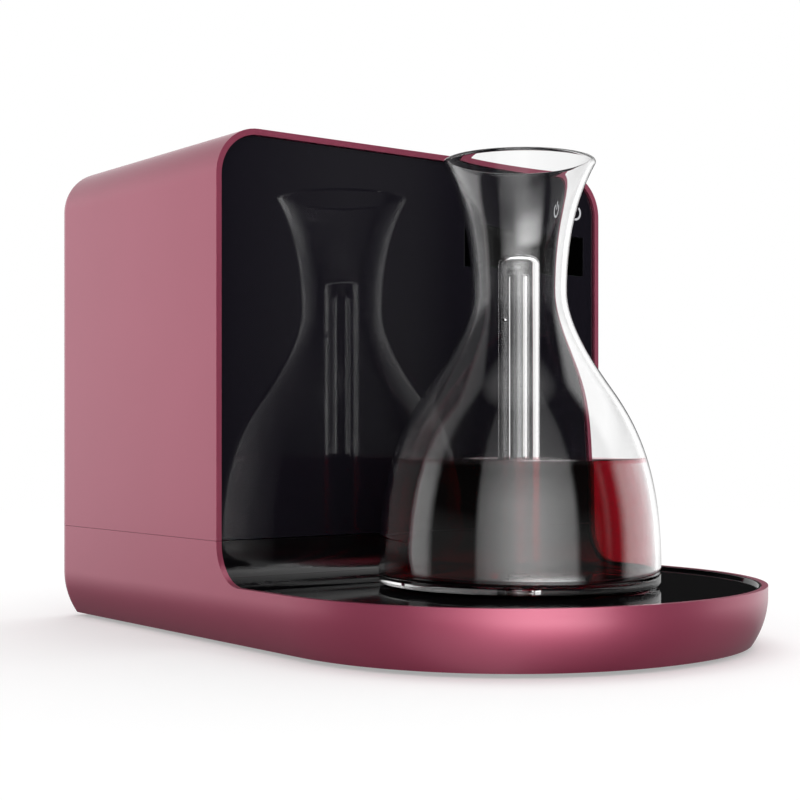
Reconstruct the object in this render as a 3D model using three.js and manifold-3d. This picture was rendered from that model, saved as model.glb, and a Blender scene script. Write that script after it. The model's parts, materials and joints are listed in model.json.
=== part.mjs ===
// Electric wine decanter: an oxygen maker in an anodised housing, with a tray that carries a glass carafe.
// Millimetres. +X is to the right as seen from the front, +Y to the rear and +Z up.
// The origin is on the table, in the middle of the outline of housing and tray.
import * as THREE from 'three';
import { mergeVertices } from 'three/addons/utils/BufferGeometryUtils.js';
import Module from 'manifold-3d';

const wasm = await Module();
wasm.setup();

// Housing
const bodyWidth = 256;
const bodyHeight = 250;
const bodyDepth = 176;
const shellWall = 3;
const cornerRadius = 24;
const rearFillet = 11;
const innerCornerLeast = 0.8;
const seamHeight = 49.4;
const seamGap = 0.4;
const tongueDepth = 6;
const tongueHeight = 4;
const tongueWall = 1.7;
const footHeight = 2;
const fitGap = 0.3;
const joinDepth = 1;
const overrun = 5;

// Tray
const trayReach = 188;
const noseFullness = 2.1;
const rimHeight = 28.2;
const coveRadius = 20;
const surfaceRecess = 1.6;
const bowlHeight = 24;
const bowlInset = 7.2;
const linerThickness = 2.4;
const ledgeWidth = 4;
const ledgeThickness = 2;

// Base plate, its posts and feet
const basePlateThickness = 2.5;
const basePlateSink = 0.6;
const postRadius = 4;
const trayPostSpread = 45;
const trayPostReach = 30;
const ventSlotWidth = 3;
const ventSlotLength = 46;
const ventSlotPitch = 9;
const ventSlotCount = 7;
const footRadius = 9;
const footStemRadius = 3;
const footHeadRadius = 3.9;
const footHeadHeight = 1.6;
const rearFootFromSide = 38;
const rearFootFromRear = 22;
const frontFootSpread = 60;
const frontFootFromNose = 66;
const screwShankRadius = 1.5;
const screwHeadRadius = 3;
const screwHeadHeight = 1.8;
const baseScrewLength = 11;
const bossRadius = 4.5;
const bossHeight = 12;
const bossWeb = 3;
const bossInset = 17;
const rearBossFromRear = 18;
const frontBossAngle = 50;

// Front panel, display and touch keys
const panelThickness = 3;
const flangeWidth = 6;
const flangeThickness = 2.5;
const displayWidth = 89;
const displayHeight = 22.2;
const displayFromSide = 10.8;
const displayFromTop = 36;
const displaySink = 0.2;
const displayGlass = 2;
const displayBoardMargin = 4;
const displayBlockInset = 3;
const boardThickness = 1.6;
const touchFromSide = 14;
const touchFromTop = 14;
const touchBoardWidth = 32;
const touchBoardHeight = 18;

// Carafe, of blown glass with a fused aeration tube
const carafeReach = 74;
const carafeRadius = 69;
const bellyHeight = 9.5;
const shoulderHeight = 99;
const shoulderRadius = 43;
const neckHeight = 143.6;
const neckRadius = 23.45;
const lipHeight = 206.3;
const lipRadius = 37.3;
const glassWall = 2.6;
const glassFloor = 6;
const heelRadius = 3;
const shoulderLean = 0.7;
const bellyPullShare = 0.6;
const shoulderPullShare = 0.16;
const shoulderRiseShare = 0.28;
const neckPullShare = 0.32;
const lipPullShare = 0.6;
const seatProud = 0.2;
const seatGap = 0.2;
const seatClearance = 1.2;
const socketRadius = 7.2;
const socketDepth = 4;
const gasBore = 3;
const riserRadius = 5;
const riserHeight = 152;
const riserFootRadius = 7;
const riserFootHeight = 3;
const bellRadius = 10.2;
const bellWall = 2;
const bellHeight = 161.6;
const bellShoulder = 5;
const bellNotchWidth = 4;
const bellNotchHeight = 5;
const bellVentRadius = 0.8;
const bellVentHeight = 129;

// Gas nozzle and seat in the tray
const gasketInner = 46;
const gasketOuter = 54;
const gasketGroove = 1.3;
const nozzleRadius = 5.2;
const nozzleRise = 3.8;
const nozzleFlangeRadius = 11;
const nozzleFlangeHeight = 3;
const nozzleBore = 1.5;
const nippleRadius = 2.4;
const nippleLength = 6;
const ringSection = 0.8;
const ringRadius = 5.8;
const ringRise = 1.8;

// Rear cover with fan guard, intake slots and mains inlet
const rearCoverFromSide = 30;
const rearCoverFromSeam = 14.6;
const rearCoverCorner = 8;
const rearCoverThickness = 2;
const rearCoverSink = 0.3;
const rearCoverFromTop = 26;
const rearLip = 6;
const rearLipThickness = 2.2;
const rearLipCorner = 14;
const rearScrewInset = 5;
const rearScrewLength = 3.6;
const rearScrewHeadHeight = 1.2;
const rearScrewHeadRadius = 2.4;
const rearScrewShankRadius = 1.2;
const fanSize = 80;
const fanDepth = 20;
const fanCorner = 5;
const fanBoreRadius = 37.5;
const fanTipGap = 2;
const fanPegSpread = 35.7;
const fanPegRadius = 1.9;
const fanPegLength = 4;
const fanFromLeft = 8;
const fanFromBottom = 10;
const fanHubRadius = 15;
const fanMotorDepth = 4;
const fanSpokeWidth = 4;
const fanSpokeCount = 4;
const rotorHubRadius = 16;
const rotorHubLength = 13;
const rotorShaftRadius = 2;
const rotorShaftLength = 3;
const bladeCount = 7;
const bladeChord = 17;
const bladeThickness = 1.4;
const bladeRootPitch = 42;
const bladeTipPitch = 26;
const guardRingCount = 4;
const guardSlot = 3.8;
const guardRib = 3.4;
const guardHubRadius = 7;
const guardSpokeWidth = 3.4;
const intakeSlotCount = 9;
const intakeSlotWidth = 2.4;
const intakeSlotHeight = 30;
const intakeSlotPitch = 4.4;
const inletFromRight = 28;
const inletFromBottom = 22;
const inletWidth = 27;
const inletHeight = 17;
const inletDepth = 19;
const inletWall = 2.4;
const inletFloor = 4;
const inletLobeRadius = 4;
const inletPinSpread = 4.3;
const inletPinRadius = 1.2;
const inletPinSink = 3;
const inletPinTail = 3;

// Linear piston compressor
const compressorSideShare = 0.084;
const compressorFromPanel = 41.4;
const isolatorRadius = 7;
const isolatorHeight = 10;
const isolatorWaist = 5.2;
const isolatorInset = 10;
const bracketWidth = 84;
const bracketLength = 68;
const bracketSheet = 3;
const bracketHeight = 94;
const springRadius = 7.5;
const springWire = 0.9;
const springLength = 25;
const springTurns = 4;
const armatureRadius = 11.5;
const armatureSeatRadius = 9;
const armatureSeatHeight = 3.7;
const armatureLength = 48;
const pistonNeckRadius = 5;
const pistonNeckLength = 22;
const pistonRadius = 15.6;
const pistonLength = 10;
const pistonStroke = 5;
const coreLift = 6;
const coreHeight = 42;
const coreLength = 62;
const coreCheek = 5;
const coilRadius = 26.5;
const coilWall = 2;
const cylinderLift = 8;
const cylinderFlange = 4;
const cylinderHeight = 36;
const cylinderBore = 16;
const cylinderWall = 3;
const cylinderFinCount = 2;
const cylinderFinReach = 3;
const cylinderFinHeight = 2;
const headHeight = 14;
const headRadius = 22;
const headPortSpread = 10;

// Oxygen columns with valve block and solenoids
const columnRadius = 20;
const columnHeadroom = 78;
const columnPitch = 46;
const columnFromSide = 10;
const columnRearShare = 0.1875;
const columnGroove = 1.2;
const columnGrooveFromEnd = 12;
const saddleHeight = 14;
const saddlePocket = 8;
const saddleMargin = 3;
const capHeight = 6;
const capSocketRadius = 5;
const capSocketDepth = 4;
const valveBlockWidth = 92;
const valveBlockLength = 32;
const valveBlockHeight = 18;
const valveSpigotRadius = 4.6;
const solenoidRadius = 10;
const solenoidHeight = 20;
const solenoidCapHeight = 4;

// Power supply and control boards
const powerBoardWidthShare = 0.384;
const powerBoardLengthShare = 0.375;
const powerBoardFromSide = 12;
const powerBoardFromPanel = 14;
const standoffHeight = 8;
const standoffRadius = 3.5;
const standoffInset = 6;
const capacitorRadius = 8;
const capacitorHeight = 26;
const capacitorPitch = 20;
const heatSinkLength = 44;
const heatSinkDepth = 14;
const heatSinkHeight = 28;
const heatSinkFin = 2;
const heatSinkFinCount = 4;
const transformerWidth = 34;
const transformerGap = 8;
const transformerHeight = 26;
const transformerYoke = 7;
const bobbinOverhang = 4;
const controlBoardLengthShare = 0.4;
const controlBoardHeight = 80;
const controlBoardFromPanel = 22;
const controlBoardFromSeam = 56;
const controlBossLength = 8;
const chipSize = 14;
const chipHeight = 2.4;

// Air filter, hoses and mains lead
const filterRadius = 19;
const filterLength = 22;
const filterCoverRadius = 20.5;
const filterCoverLength = 4;
const hoseRadius = 3.2;
const hoseSag = 12;
const leadRadius = 2;

// Facets of rounds, and of large and small turned pieces
const cornerSteps = 3;
const noseSteps = 20;
const bowlSteps = 4;
const coveSteps = 6;
const archSteps = 5;
const filletSteps = 3;
const glassSides = 24;
const roundSides = 16;
const ringSides = 12;
const smallSides = 8;

// Places that several pieces share
const halfWidth = bodyWidth / 2;
const innerHalf = halfWidth - shellWall;
const innerWidth = 2 * innerHalf;
const faceY = (trayReach - bodyDepth) / 2;
const rearY = faceY + bodyDepth;
const noseY = faceY - trayReach + halfWidth;
const shellBottom = footHeight;
const seamZ = shellBottom + seamHeight;
const topZ = shellBottom + bodyHeight;
const rimZ = shellBottom + rimHeight;
const trayZ = rimZ - surfaceRecess;
const linerBottom = trayZ - linerThickness;
const panelY = faceY + surfaceRecess;
const panelBack = panelY + panelThickness;
const basePlateBottom = shellBottom + basePlateSink;
const floorZ = basePlateBottom + basePlateThickness;
const carafeY = faceY - carafeReach;
const carafeZ = trayZ + seatProud + seatGap;
const rearCoverBack = rearY - rearCoverSink;
const rearCoverFront = rearCoverBack - rearCoverThickness;
const rearCoverWidth = bodyWidth - 2 * rearCoverFromSide;
const rearCoverTop = topZ - rearCoverFromTop;
const rearCoverHeight = rearCoverTop - seamZ - rearCoverFromSeam;
const rearCoverZ = rearCoverTop - rearCoverHeight / 2;
const columnHeight = bodyHeight - columnHeadroom;
const powerBoardWidth = innerWidth * powerBoardWidthShare;
const powerBoardLength = bodyDepth * powerBoardLengthShare;
const transformerLength = powerBoardLength - 2 * (standoffInset + capacitorRadius) - transformerGap;
const controlBoardLength = bodyDepth * controlBoardLengthShare;

// Shapes drawn flat

function arc(x, y, radius, from, to, steps) {
  const points = [];
  for (let i = 0; i <= steps; i += 1) {
    const angle = from + (to - from) * i / steps;
    points.push(new THREE.Vector2(x + radius * Math.cos(angle), y + radius * Math.sin(angle)));
  }
  return points;
}

function circle(radius, x = 0, y = 0, sides = roundSides) {
  return new THREE.Shape(arc(x, y, radius, 0, 2 * Math.PI, sides).slice(0, sides));
}

function rectangle(width, height, x = 0, y = 0) {
  const corners = [[-1, -1], [1, -1], [1, 1], [-1, 1]];
  const points = corners.map(([i, j]) => new THREE.Vector2(x + i * width / 2, y + j * height / 2));
  return new THREE.Shape(points);
}

function roundedRectangle(width, height, radius, x = 0, y = 0) {
  const right = x + width / 2 - radius;
  const left = x - width / 2 + radius;
  const upper = y + height / 2 - radius;
  const lower = y - height / 2 + radius;
  return new THREE.Shape([
    ...arc(right, upper, radius, 0, Math.PI / 2, cornerSteps),
    ...arc(left, upper, radius, Math.PI / 2, Math.PI, cornerSteps),
    ...arc(left, lower, radius, Math.PI, 1.5 * Math.PI, cornerSteps),
    ...arc(right, lower, radius, 1.5 * Math.PI, 2 * Math.PI, cornerSteps),
  ]);
}

// The front of the tray: a half round, made a little fuller than a circle.
function nosePoints(half) {
  return arc(0, 0, 1, Math.PI, 2 * Math.PI, noseSteps).map(({ x, y }) => {
    const [across, along] = [x, y].map((c) => Math.sign(c) * Math.abs(c) ** (2 / noseFullness));
    return new THREE.Vector2(half * across, noseY + half * along);
  });
}

// Outline of housing and tray from above, moved in by inset: square at the rear, half round at the front.
function planPoints(inset) {
  const half = halfWidth - inset;
  const corner = Math.max(rearFillet - inset, innerCornerLeast);
  const rear = rearY - inset - corner;
  return [
    ...arc(half - corner, rear, corner, 0, Math.PI / 2, cornerSteps),
    ...arc(corner - half, rear, corner, Math.PI / 2, Math.PI, cornerSteps),
    ...nosePoints(half),
  ];
}

// Outline of the upper housing from the front, moved in by inset.
function archPoints(inset, bottom) {
  const half = halfWidth - inset;
  const corner = Math.max(cornerRadius - inset, innerCornerLeast);
  const upper = topZ - inset - corner;
  return [
    new THREE.Vector2(-half, bottom),
    new THREE.Vector2(half, bottom),
    ...arc(half - corner, upper, corner, 0, Math.PI / 2, archSteps),
    ...arc(corner - half, upper, corner, Math.PI / 2, Math.PI, archSteps),
  ];
}

function ringShape(outerPoints, innerPoints) {
  const shape = new THREE.Shape(outerPoints);
  shape.holes.push(new THREE.Path(innerPoints));
  return shape;
}

// Solids from shapes

function extrude(shape, depth) {
  return new THREE.ExtrudeGeometry(shape, { depth, bevelEnabled: false });
}

// A prism along Z, with the shape drawn in x and y.
function plate(shape, bottom, top) {
  return extrude(shape, top - bottom).translate(0, 0, bottom);
}

// A prism along Y, with the shape drawn in x and z.
function slab(shape, front, back) {
  return extrude(shape, back - front).rotateX(Math.PI / 2).translate(0, back, 0);
}

// A prism along X, with the shape drawn in y and z.
function beam(shape, left, right) {
  const turn = new THREE.Matrix4().makeBasis(
    new THREE.Vector3(0, 1, 0),
    new THREE.Vector3(0, 0, 1),
    new THREE.Vector3(1, 0, 0),
  );
  return extrude(shape, right - left).applyMatrix4(turn).translate(left, 0, 0);
}

function rod(radius, bottom, top, x = 0, y = 0, sides = smallSides) {
  return plate(circle(radius, x, y, sides), bottom, top);
}

function pin(radius, front, back, x = 0, z = 0, sides = smallSides) {
  return slab(circle(radius, x, z, sides), front, back);
}

// A solid of revolution about Z. Its profile lists radius and height, and closes on itself or on the axis.
function turned(profile, sides = roundSides) {
  const points = profile.map(([radius, height]) => new THREE.Vector2(radius, height));
  if (points[0].x > 0) {
    points.push(points[0].clone());
  }
  return new THREE.LatheGeometry(points, sides).rotateX(Math.PI / 2);
}

// A skin through loops with equal numbers of points, closed by a fan over the first and the last.
function loft(loops) {
  const count = loops[0].length;
  const points = loops.flat();
  const faces = [];
  for (let i = 0; i < points.length - count; i += 1) {
    const next = i % count === count - 1 ? i + 1 - count : i + 1;
    faces.push(i, next, next + count, i, next + count, i + count);
  }
  [0, loops.length - 1].forEach((row, end) => {
    const middle = loops[row].reduce((sum, p) => sum.add(p), new THREE.Vector3()).divideScalar(count);
    const hub = points.push(middle) - 1;
    for (let i = 0; i < count; i += 1) {
      const here = row * count + i;
      const next = row * count + (i + 1) % count;
      faces.push(...(end === 0 ? [hub, next, here] : [hub, here, next]));
    }
  });
  const geometry = new THREE.BufferGeometry().setFromPoints(points);
  geometry.setIndex(faces);
  return geometry;
}

function hose(points, radius, steps, sides = 6) {
  const path = new THREE.CatmullRomCurve3(points.map(([x, y, z]) => new THREE.Vector3(x, y, z)));
  return new THREE.ExtrudeGeometry(circle(radius, 0, 0, sides), { steps, extrudePath: path });
}

// Joining and cutting

function signedVolume(positions, faces) {
  const [a, b, c] = [new THREE.Vector3(), new THREE.Vector3(), new THREE.Vector3()];
  let sum = 0;
  for (let i = 0; i < faces.length; i += 3) {
    a.fromArray(positions, 3 * faces[i]);
    b.fromArray(positions, 3 * faces[i + 1]);
    c.fromArray(positions, 3 * faces[i + 2]);
    sum += a.dot(b.cross(c));
  }
  return sum;
}

function asSolid(geometry) {
  const bare = geometry.clone();
  bare.deleteAttribute('normal');
  bare.deleteAttribute('uv');
  const merged = mergeVertices(bare);
  const positions = merged.attributes.position.array;
  const index = merged.index.array;
  const faces = [];
  for (let i = 0; i < index.length; i += 3) {
    const [a, b, c] = index.slice(i, i + 3);
    if (a !== b && b !== c && c !== a) {
      faces.push(a, b, c);
    }
  }
  if (signedVolume(positions, faces) < 0) {
    faces.reverse();
  }
  return new wasm.Manifold(new wasm.Mesh({
    numProp: 3,
    vertProperties: new Float32Array(positions),
    triVerts: new Uint32Array(faces),
  }));
}

function asGeometry(solid) {
  const mesh = solid.getMesh();
  const geometry = new THREE.BufferGeometry();
  geometry.setAttribute('position', new THREE.BufferAttribute(mesh.vertProperties, 3));
  geometry.setIndex(new THREE.BufferAttribute(mesh.triVerts, 1));
  return geometry;
}

function join(first, ...others) {
  return asGeometry(others.reduce((sum, other) => sum.add(asSolid(other)), asSolid(first)));
}

function cut(first, ...tools) {
  return asGeometry(tools.reduce((rest, tool) => rest.subtract(asSolid(tool)), asSolid(first)));
}

function common(first, second) {
  return asGeometry(asSolid(first).intersect(asSolid(second)));
}

// Base shell: a bowl-sided lower housing that runs out into the tray

const bowlRadius = (bowlHeight ** 2 + bowlInset ** 2) / (2 * bowlInset);
const bowlAngle = Math.asin(bowlHeight / bowlRadius);

// The outer wall leans in below bowlHeight along an arc, and stands upright above it.
function bowlLevels() {
  const levels = [];
  for (let i = 0; i <= bowlSteps; i += 1) {
    const angle = bowlAngle * (1 - i / bowlSteps);
    levels.push({
      inset: bowlRadius * (1 - Math.cos(angle)),
      z: shellBottom + bowlHeight - bowlRadius * Math.sin(angle),
    });
  }
  return levels;
}

function planLoop(inset, z) {
  return planPoints(inset).map((p) => new THREE.Vector3(p.x, p.y, z));
}

function bowlSolid(wall, reach) {
  const levels = bowlLevels();
  const loops = levels.map(({ inset, z }) => planLoop(inset + wall, z));
  loops[0] = planLoop(levels[0].inset + wall, shellBottom - reach);
  return loft([...loops, planLoop(wall, seamZ - seamGap / 2 + reach)]);
}

// Everything above the tray rim and in front of the housing face, with the cove between them.
function coveCut() {
  const front = noseY - halfWidth - overrun;
  const upper = seamZ + overrun;
  const centreZ = rimZ + coveRadius;
  const shape = new THREE.Shape([
    new THREE.Vector2(front, rimZ),
    ...arc(faceY - coveRadius, centreZ, coveRadius, -Math.PI / 2, 0, coveSteps),
    new THREE.Vector2(faceY, upper),
    new THREE.Vector2(front, upper),
  ]);
  return beam(shape, -halfWidth - overrun, halfWidth + overrun);
}

function planRing(outerInset, innerInset, bottom, top) {
  return plate(ringShape(planPoints(outerInset), planPoints(innerInset)), bottom, top);
}

// A ledge round the tray that the liner rests on.
function trayLedge() {
  const top = linerBottom - fitGap;
  const ring = planRing(shellWall - joinDepth, shellWall + ledgeWidth, top - ledgeThickness, top);
  const back = faceY - coveRadius;
  const behind = rectangle(bodyWidth, 2 * bodyDepth, 0, back + bodyDepth);
  return cut(ring, plate(behind, top - ledgeThickness - overrun, top + overrun));
}

// A tongue round the housing seam that centres the upper cover.
function seamTongue() {
  const start = panelBack + fitGap + flangeThickness + fitGap;
  const middle = seamZ - seamGap - joinDepth;
  const inner = shellWall + fitGap + tongueWall;
  const root = planRing(shellWall - joinDepth, inner, seamZ - tongueDepth, middle);
  const lip = planRing(shellWall + fitGap, inner, middle - joinDepth, seamZ + tongueHeight);
  const reach = 2 * trayReach;
  const front = rectangle(bodyWidth, reach, 0, start - reach / 2);
  return cut(join(root, lip), plate(front, seamZ - tongueDepth - overrun, seamZ + overrun));
}

// Where the base screws stand, and the way each boss's web runs out to the wall.
function baseScrewPlaces() {
  const angle = THREE.MathUtils.degToRad(frontBossAngle);
  const reach = halfWidth - bossInset;
  const places = [];
  for (const side of [-1, 1]) {
    places.push({
      name: side < 0 ? 'left' : 'right', row: 'rear',
      x: side * reach, y: rearY - rearBossFromRear, out: side < 0 ? Math.PI : 0,
    });
    places.push({
      name: side < 0 ? 'left' : 'right', row: 'front',
      x: side * reach * Math.cos(angle), y: noseY - reach * Math.sin(angle),
      out: side < 0 ? Math.PI + angle : -angle,
    });
  }
  return places;
}

function screwBoss({ x, y, out }) {
  const bottom = floorZ + fitGap;
  const top = bottom + bossHeight;
  const web = plate(rectangle(bossInset, bossWeb, bossInset / 2, 0), bottom, top);
  web.rotateZ(out).translate(x, y, 0);
  const boss = join(rod(bossRadius, bottom, top, x, y, roundSides), web);
  return cut(boss, rod(screwShankRadius + fitGap, bottom - overrun, top - joinDepth, x, y));
}

function baseShell() {
  const outer = bowlSolid(0, 0);
  const bosses = baseScrewPlaces().map((place) => common(screwBoss(place), outer));
  const walls = cut(outer, bowlSolid(shellWall, overrun));
  return join(cut(walls, coveCut()), trayLedge(), seamTongue(), ...bosses);
}

// Tray liner: the black gloss tray with the cove that rises to the front panel

function linerCurve(extra) {
  const radius = coveRadius + surfaceRecess + extra;
  return arc(faceY - coveRadius, rimZ + coveRadius, radius, -Math.PI / 2, 0, coveSteps);
}

// The carafe stands so near the cove that its round seat is let into it, so the liner is thicker there.
function seatFloor() {
  const shape = new THREE.Shape([
    new THREE.Vector2(faceY - coveRadius - overrun, linerBottom),
    new THREE.Vector2(panelY + linerThickness, linerBottom),
    new THREE.Vector2(panelY + linerThickness, rimZ + coveRadius),
    ...linerCurve(linerThickness / 2).reverse(),
    new THREE.Vector2(faceY - coveRadius - overrun, trayZ - linerThickness / 2),
  ]);
  const radius = carafeRadius + seatClearance + linerThickness;
  const round = rod(radius, linerBottom - overrun, rimZ + coveRadius, 0, carafeY, glassSides);
  return common(beam(shape, -halfWidth, halfWidth), round);
}

function trayLiner() {
  const front = noseY - halfWidth;
  const upper = seamZ - seamGap / 2;
  const shape = new THREE.Shape([
    new THREE.Vector2(front, trayZ),
    new THREE.Vector2(front, linerBottom),
    ...linerCurve(linerThickness),
    new THREE.Vector2(panelY + linerThickness, upper),
    new THREE.Vector2(panelY, upper),
    ...linerCurve(0).reverse(),
  ]);
  const inset = shellWall + fitGap;
  const outline = plate(new THREE.Shape(planPoints(inset)), linerBottom - overrun, upper + overrun);
  const sheet = common(beam(shape, inset - halfWidth, halfWidth - inset), outline);
  const bottom = trayZ - gasketGroove;
  const groove = turned([
    [gasketInner - fitGap, bottom], [gasketOuter + fitGap, bottom],
    [gasketOuter + fitGap, trayZ + overrun], [gasketInner - fitGap, trayZ + overrun],
  ], glassSides);
  const hole = rod(nozzleRadius + fitGap, linerBottom - overrun, trayZ + overrun, 0, carafeY, roundSides);
  const seat = rod(carafeRadius + seatClearance, trayZ, trayZ + coveRadius, 0, carafeY, glassSides);
  return cut(join(sheet, seatFloor()), groove.translate(0, carafeY, 0), hole, seat);
}

function seatGasket() {
  const bottom = trayZ - gasketGroove + fitGap;
  const top = trayZ + seatProud;
  return turned([
    [gasketInner, bottom], [gasketOuter, bottom], [gasketOuter, top], [gasketInner, top],
  ], glassSides);
}

// Gas nozzle: held under the liner by its flange, with a spigot for the carafe and a nipple for the hose.
function gasNozzle() {
  const flangeTop = linerBottom - fitGap;
  const flangeBottom = flangeTop - nozzleFlangeHeight;
  const tip = trayZ + nozzleRise;
  const ringZ = trayZ + ringRise;
  const groove = ringSection + fitGap;
  const neck = ringRadius - ringSection - fitGap;
  return turned([
    [nozzleBore, flangeBottom - nippleLength], [nippleRadius, flangeBottom - nippleLength],
    [nippleRadius, flangeBottom], [nozzleFlangeRadius, flangeBottom],
    [nozzleFlangeRadius, flangeTop], [nozzleRadius, flangeTop],
    [nozzleRadius, ringZ - groove], [neck, ringZ - groove],
    [neck, ringZ + groove], [nozzleRadius, ringZ + groove],
    [neck, tip], [nozzleBore, tip],
  ], ringSides);
}

function nozzleRing() {
  const section = arc(ringRadius, trayZ + ringRise, ringSection, 0, 2 * Math.PI, 6).slice(0, 6);
  return turned(section.map((p) => [p.x, p.y]), ringSides);
}

// Base plate with its posts, and the push-in feet below it

function footPlaces() {
  const rear = rearY - rearFootFromRear;
  const front = noseY - halfWidth + frontFootFromNose;
  return [
    ['rear_left', rearFootFromSide - halfWidth, rear], ['rear_right', halfWidth - rearFootFromSide, rear],
    ['front_left', -frontFootSpread, front], ['front_right', frontFootSpread, front],
  ];
}

const powerBoardX = innerHalf - powerBoardFromSide - powerBoardWidth / 2;
const powerBoardY = panelBack + powerBoardFromPanel + powerBoardLength / 2;
const powerBoardZ = floorZ + standoffHeight + fitGap;
const compressorX = innerWidth * compressorSideShare + bracketWidth / 2 - innerHalf;
const compressorY = panelBack + compressorFromPanel + bracketLength / 2;

function boardCorners(x, y, width, length, inset) {
  const signs = [[-1, -1], [1, -1], [1, 1], [-1, 1]];
  return signs.map(([i, j]) => [x + i * (width / 2 - inset), y + j * (length / 2 - inset)]);
}

function basePlate() {
  const inset = bowlInset + shellWall + fitGap;
  const low = basePlateBottom - overrun;
  const high = floorZ + overrun;
  const root = floorZ - joinDepth;
  const sheet = plate(new THREE.Shape(planPoints(inset)), basePlateBottom, floorZ);
  const standoffs = boardCorners(powerBoardX, powerBoardY, powerBoardWidth, powerBoardLength, standoffInset)
    .map(([x, y]) => rod(standoffRadius, root, floorZ + standoffHeight, x, y));
  const trayPosts = boardCorners(0, carafeY, 2 * trayPostSpread, 2 * trayPostReach, 0)
    .map(([x, y]) => rod(postRadius, root, linerBottom - fitGap, x, y));
  const holes = footPlaces().map(([, x, y]) => rod(footStemRadius + fitGap, low, high, x, y));
  const screwHoles = baseScrewPlaces().map(({ x, y }) => rod(screwShankRadius + fitGap, low, high, x, y));
  const slots = [];
  for (let i = 0; i < ventSlotCount; i += 1) {
    const x = compressorX + (i - (ventSlotCount - 1) / 2) * ventSlotPitch;
    slots.push(plate(rectangle(ventSlotWidth, ventSlotLength, x, compressorY), low, high));
  }
  return cut(join(sheet, ...standoffs, ...trayPosts), ...holes, ...screwHoles, ...slots);
}

function foot() {
  const under = basePlateBottom - fitGap;
  const over = floorZ + fitGap;
  const bevel = fitGap;
  return turned([
    [0, 0], [footRadius - bevel, 0], [footRadius, bevel], [footRadius, under], [footStemRadius, under],
    [footStemRadius, over], [footHeadRadius, over], [footStemRadius, over + footHeadHeight],
    [0, over + footHeadHeight],
  ], smallSides);
}

// A pan-head screw with its head down, its seat at height zero and its shank upwards.
function screw(shankRadius, headRadius, headHeight, length) {
  return turned([
    [0, -headHeight], [headRadius - fitGap, -headHeight], [headRadius, fitGap - headHeight],
    [headRadius, 0], [shankRadius, 0], [shankRadius, length], [0, length],
  ], smallSides);
}

// Upper cover: an arched shell with a rounded rear edge, open at the front and below

function archLoop(inset, bottom, y) {
  return archPoints(inset, bottom).map((p) => new THREE.Vector3(p.x, y, p.y));
}

function archSolid(wall, reach) {
  const bottom = seamZ + seamGap / 2 - reach;
  const fillet = rearFillet - wall;
  const loops = [archLoop(wall, bottom, faceY - reach)];
  for (let i = 0; i <= filletSteps; i += 1) {
    const angle = (Math.PI / 2) * (i / filletSteps);
    const y = rearY - rearFillet + fillet * Math.sin(angle);
    loops.push(archLoop(wall + fillet * (1 - Math.cos(angle)), bottom, y));
  }
  return loft(loops);
}

function panelFlange() {
  const bottom = seamZ + seamGap / 2;
  const outer = archPoints(shellWall - joinDepth, bottom);
  const front = panelBack + fitGap;
  const arch = slab(new THREE.Shape(outer), front, front + flangeThickness);
  const inner = new THREE.Shape(archPoints(shellWall + flangeWidth, bottom - overrun));
  return cut(arch, slab(inner, front - overrun, front + flangeThickness + overrun));
}

function rearScrewPlaces() {
  const inset = rearScrewInset;
  const names = ['lower_left', 'lower_right', 'upper_right', 'upper_left'];
  const corners = boardCorners(0, rearCoverZ, rearCoverWidth, rearCoverHeight, inset);
  return corners.map(([x, z], i) => ({ name: names[i], x, z }));
}

const controlBoardY = panelBack + controlBoardFromPanel + controlBoardLength / 2;
const controlBoardZ = seamZ + controlBoardFromSeam + controlBoardHeight / 2;
const controlBoardX = innerHalf - controlBossLength - fitGap;

function controlBosses() {
  const corners = boardCorners(controlBoardY, controlBoardZ, controlBoardLength, controlBoardHeight,
    standoffInset);
  return corners.map(([y, z]) => beam(circle(standoffRadius, y, z, smallSides),
    innerHalf - controlBossLength, innerHalf + joinDepth));
}

function upperCover() {
  const lipFront = rearCoverFront - fitGap - rearLipThickness;
  const rim = rearLip + rearLip;
  const lip = slab(rectangle(rearCoverWidth + rearLip, rearCoverHeight + rearLip, 0, rearCoverZ),
    lipFront, rearY - joinDepth);
  const rebate = slab(roundedRectangle(rearCoverWidth + 2 * fitGap, rearCoverHeight + 2 * fitGap,
    rearCoverCorner + fitGap, 0, rearCoverZ), rearCoverFront - fitGap, rearY + overrun);
  const through = slab(roundedRectangle(rearCoverWidth - rim, rearCoverHeight - rim, rearLipCorner,
    0, rearCoverZ), lipFront - overrun, rearY + overrun);
  const holes = rearScrewPlaces().map(({ x, z }) => pin(rearScrewShankRadius + fitGap,
    lipFront - overrun, rearY, x, z));
  const walls = cut(archSolid(0, 0), archSolid(shellWall, overrun));
  return cut(join(walls, lip, panelFlange(), ...controlBosses()), rebate, through, ...holes);
}

// Front panel, display and touch keys

const displayX = halfWidth - displayFromSide - displayWidth / 2;
const displayZ = topZ - displayFromTop - displayHeight / 2;

function frontPanel() {
  const outline = new THREE.Shape(archPoints(shellWall + fitGap, seamZ + seamGap / 2));
  const opening = rectangle(displayWidth, displayHeight, displayX, displayZ);
  return cut(slab(outline, panelY, panelBack), slab(opening, panelY - overrun, panelBack + overrun));
}

function displayWindow() {
  const shape = rectangle(displayWidth - 2 * fitGap, displayHeight - 2 * fitGap, displayX, displayZ);
  return slab(shape, panelY + displaySink, panelY + displaySink + displayGlass);
}

function displayBoard() {
  const front = panelBack + fitGap;
  const board = rectangle(displayWidth + displayBoardMargin, displayHeight + displayBoardMargin,
    displayX - displayBoardMargin / 2, displayZ);
  const lamps = rectangle(displayWidth - 2 * displayBlockInset, displayHeight - 2 * displayBlockInset,
    displayX, displayZ);
  const lampsFront = panelY + displaySink + displayGlass + fitGap;
  return join(slab(board, front, front + boardThickness), slab(lamps, lampsFront, front + boardThickness / 2));
}

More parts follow.
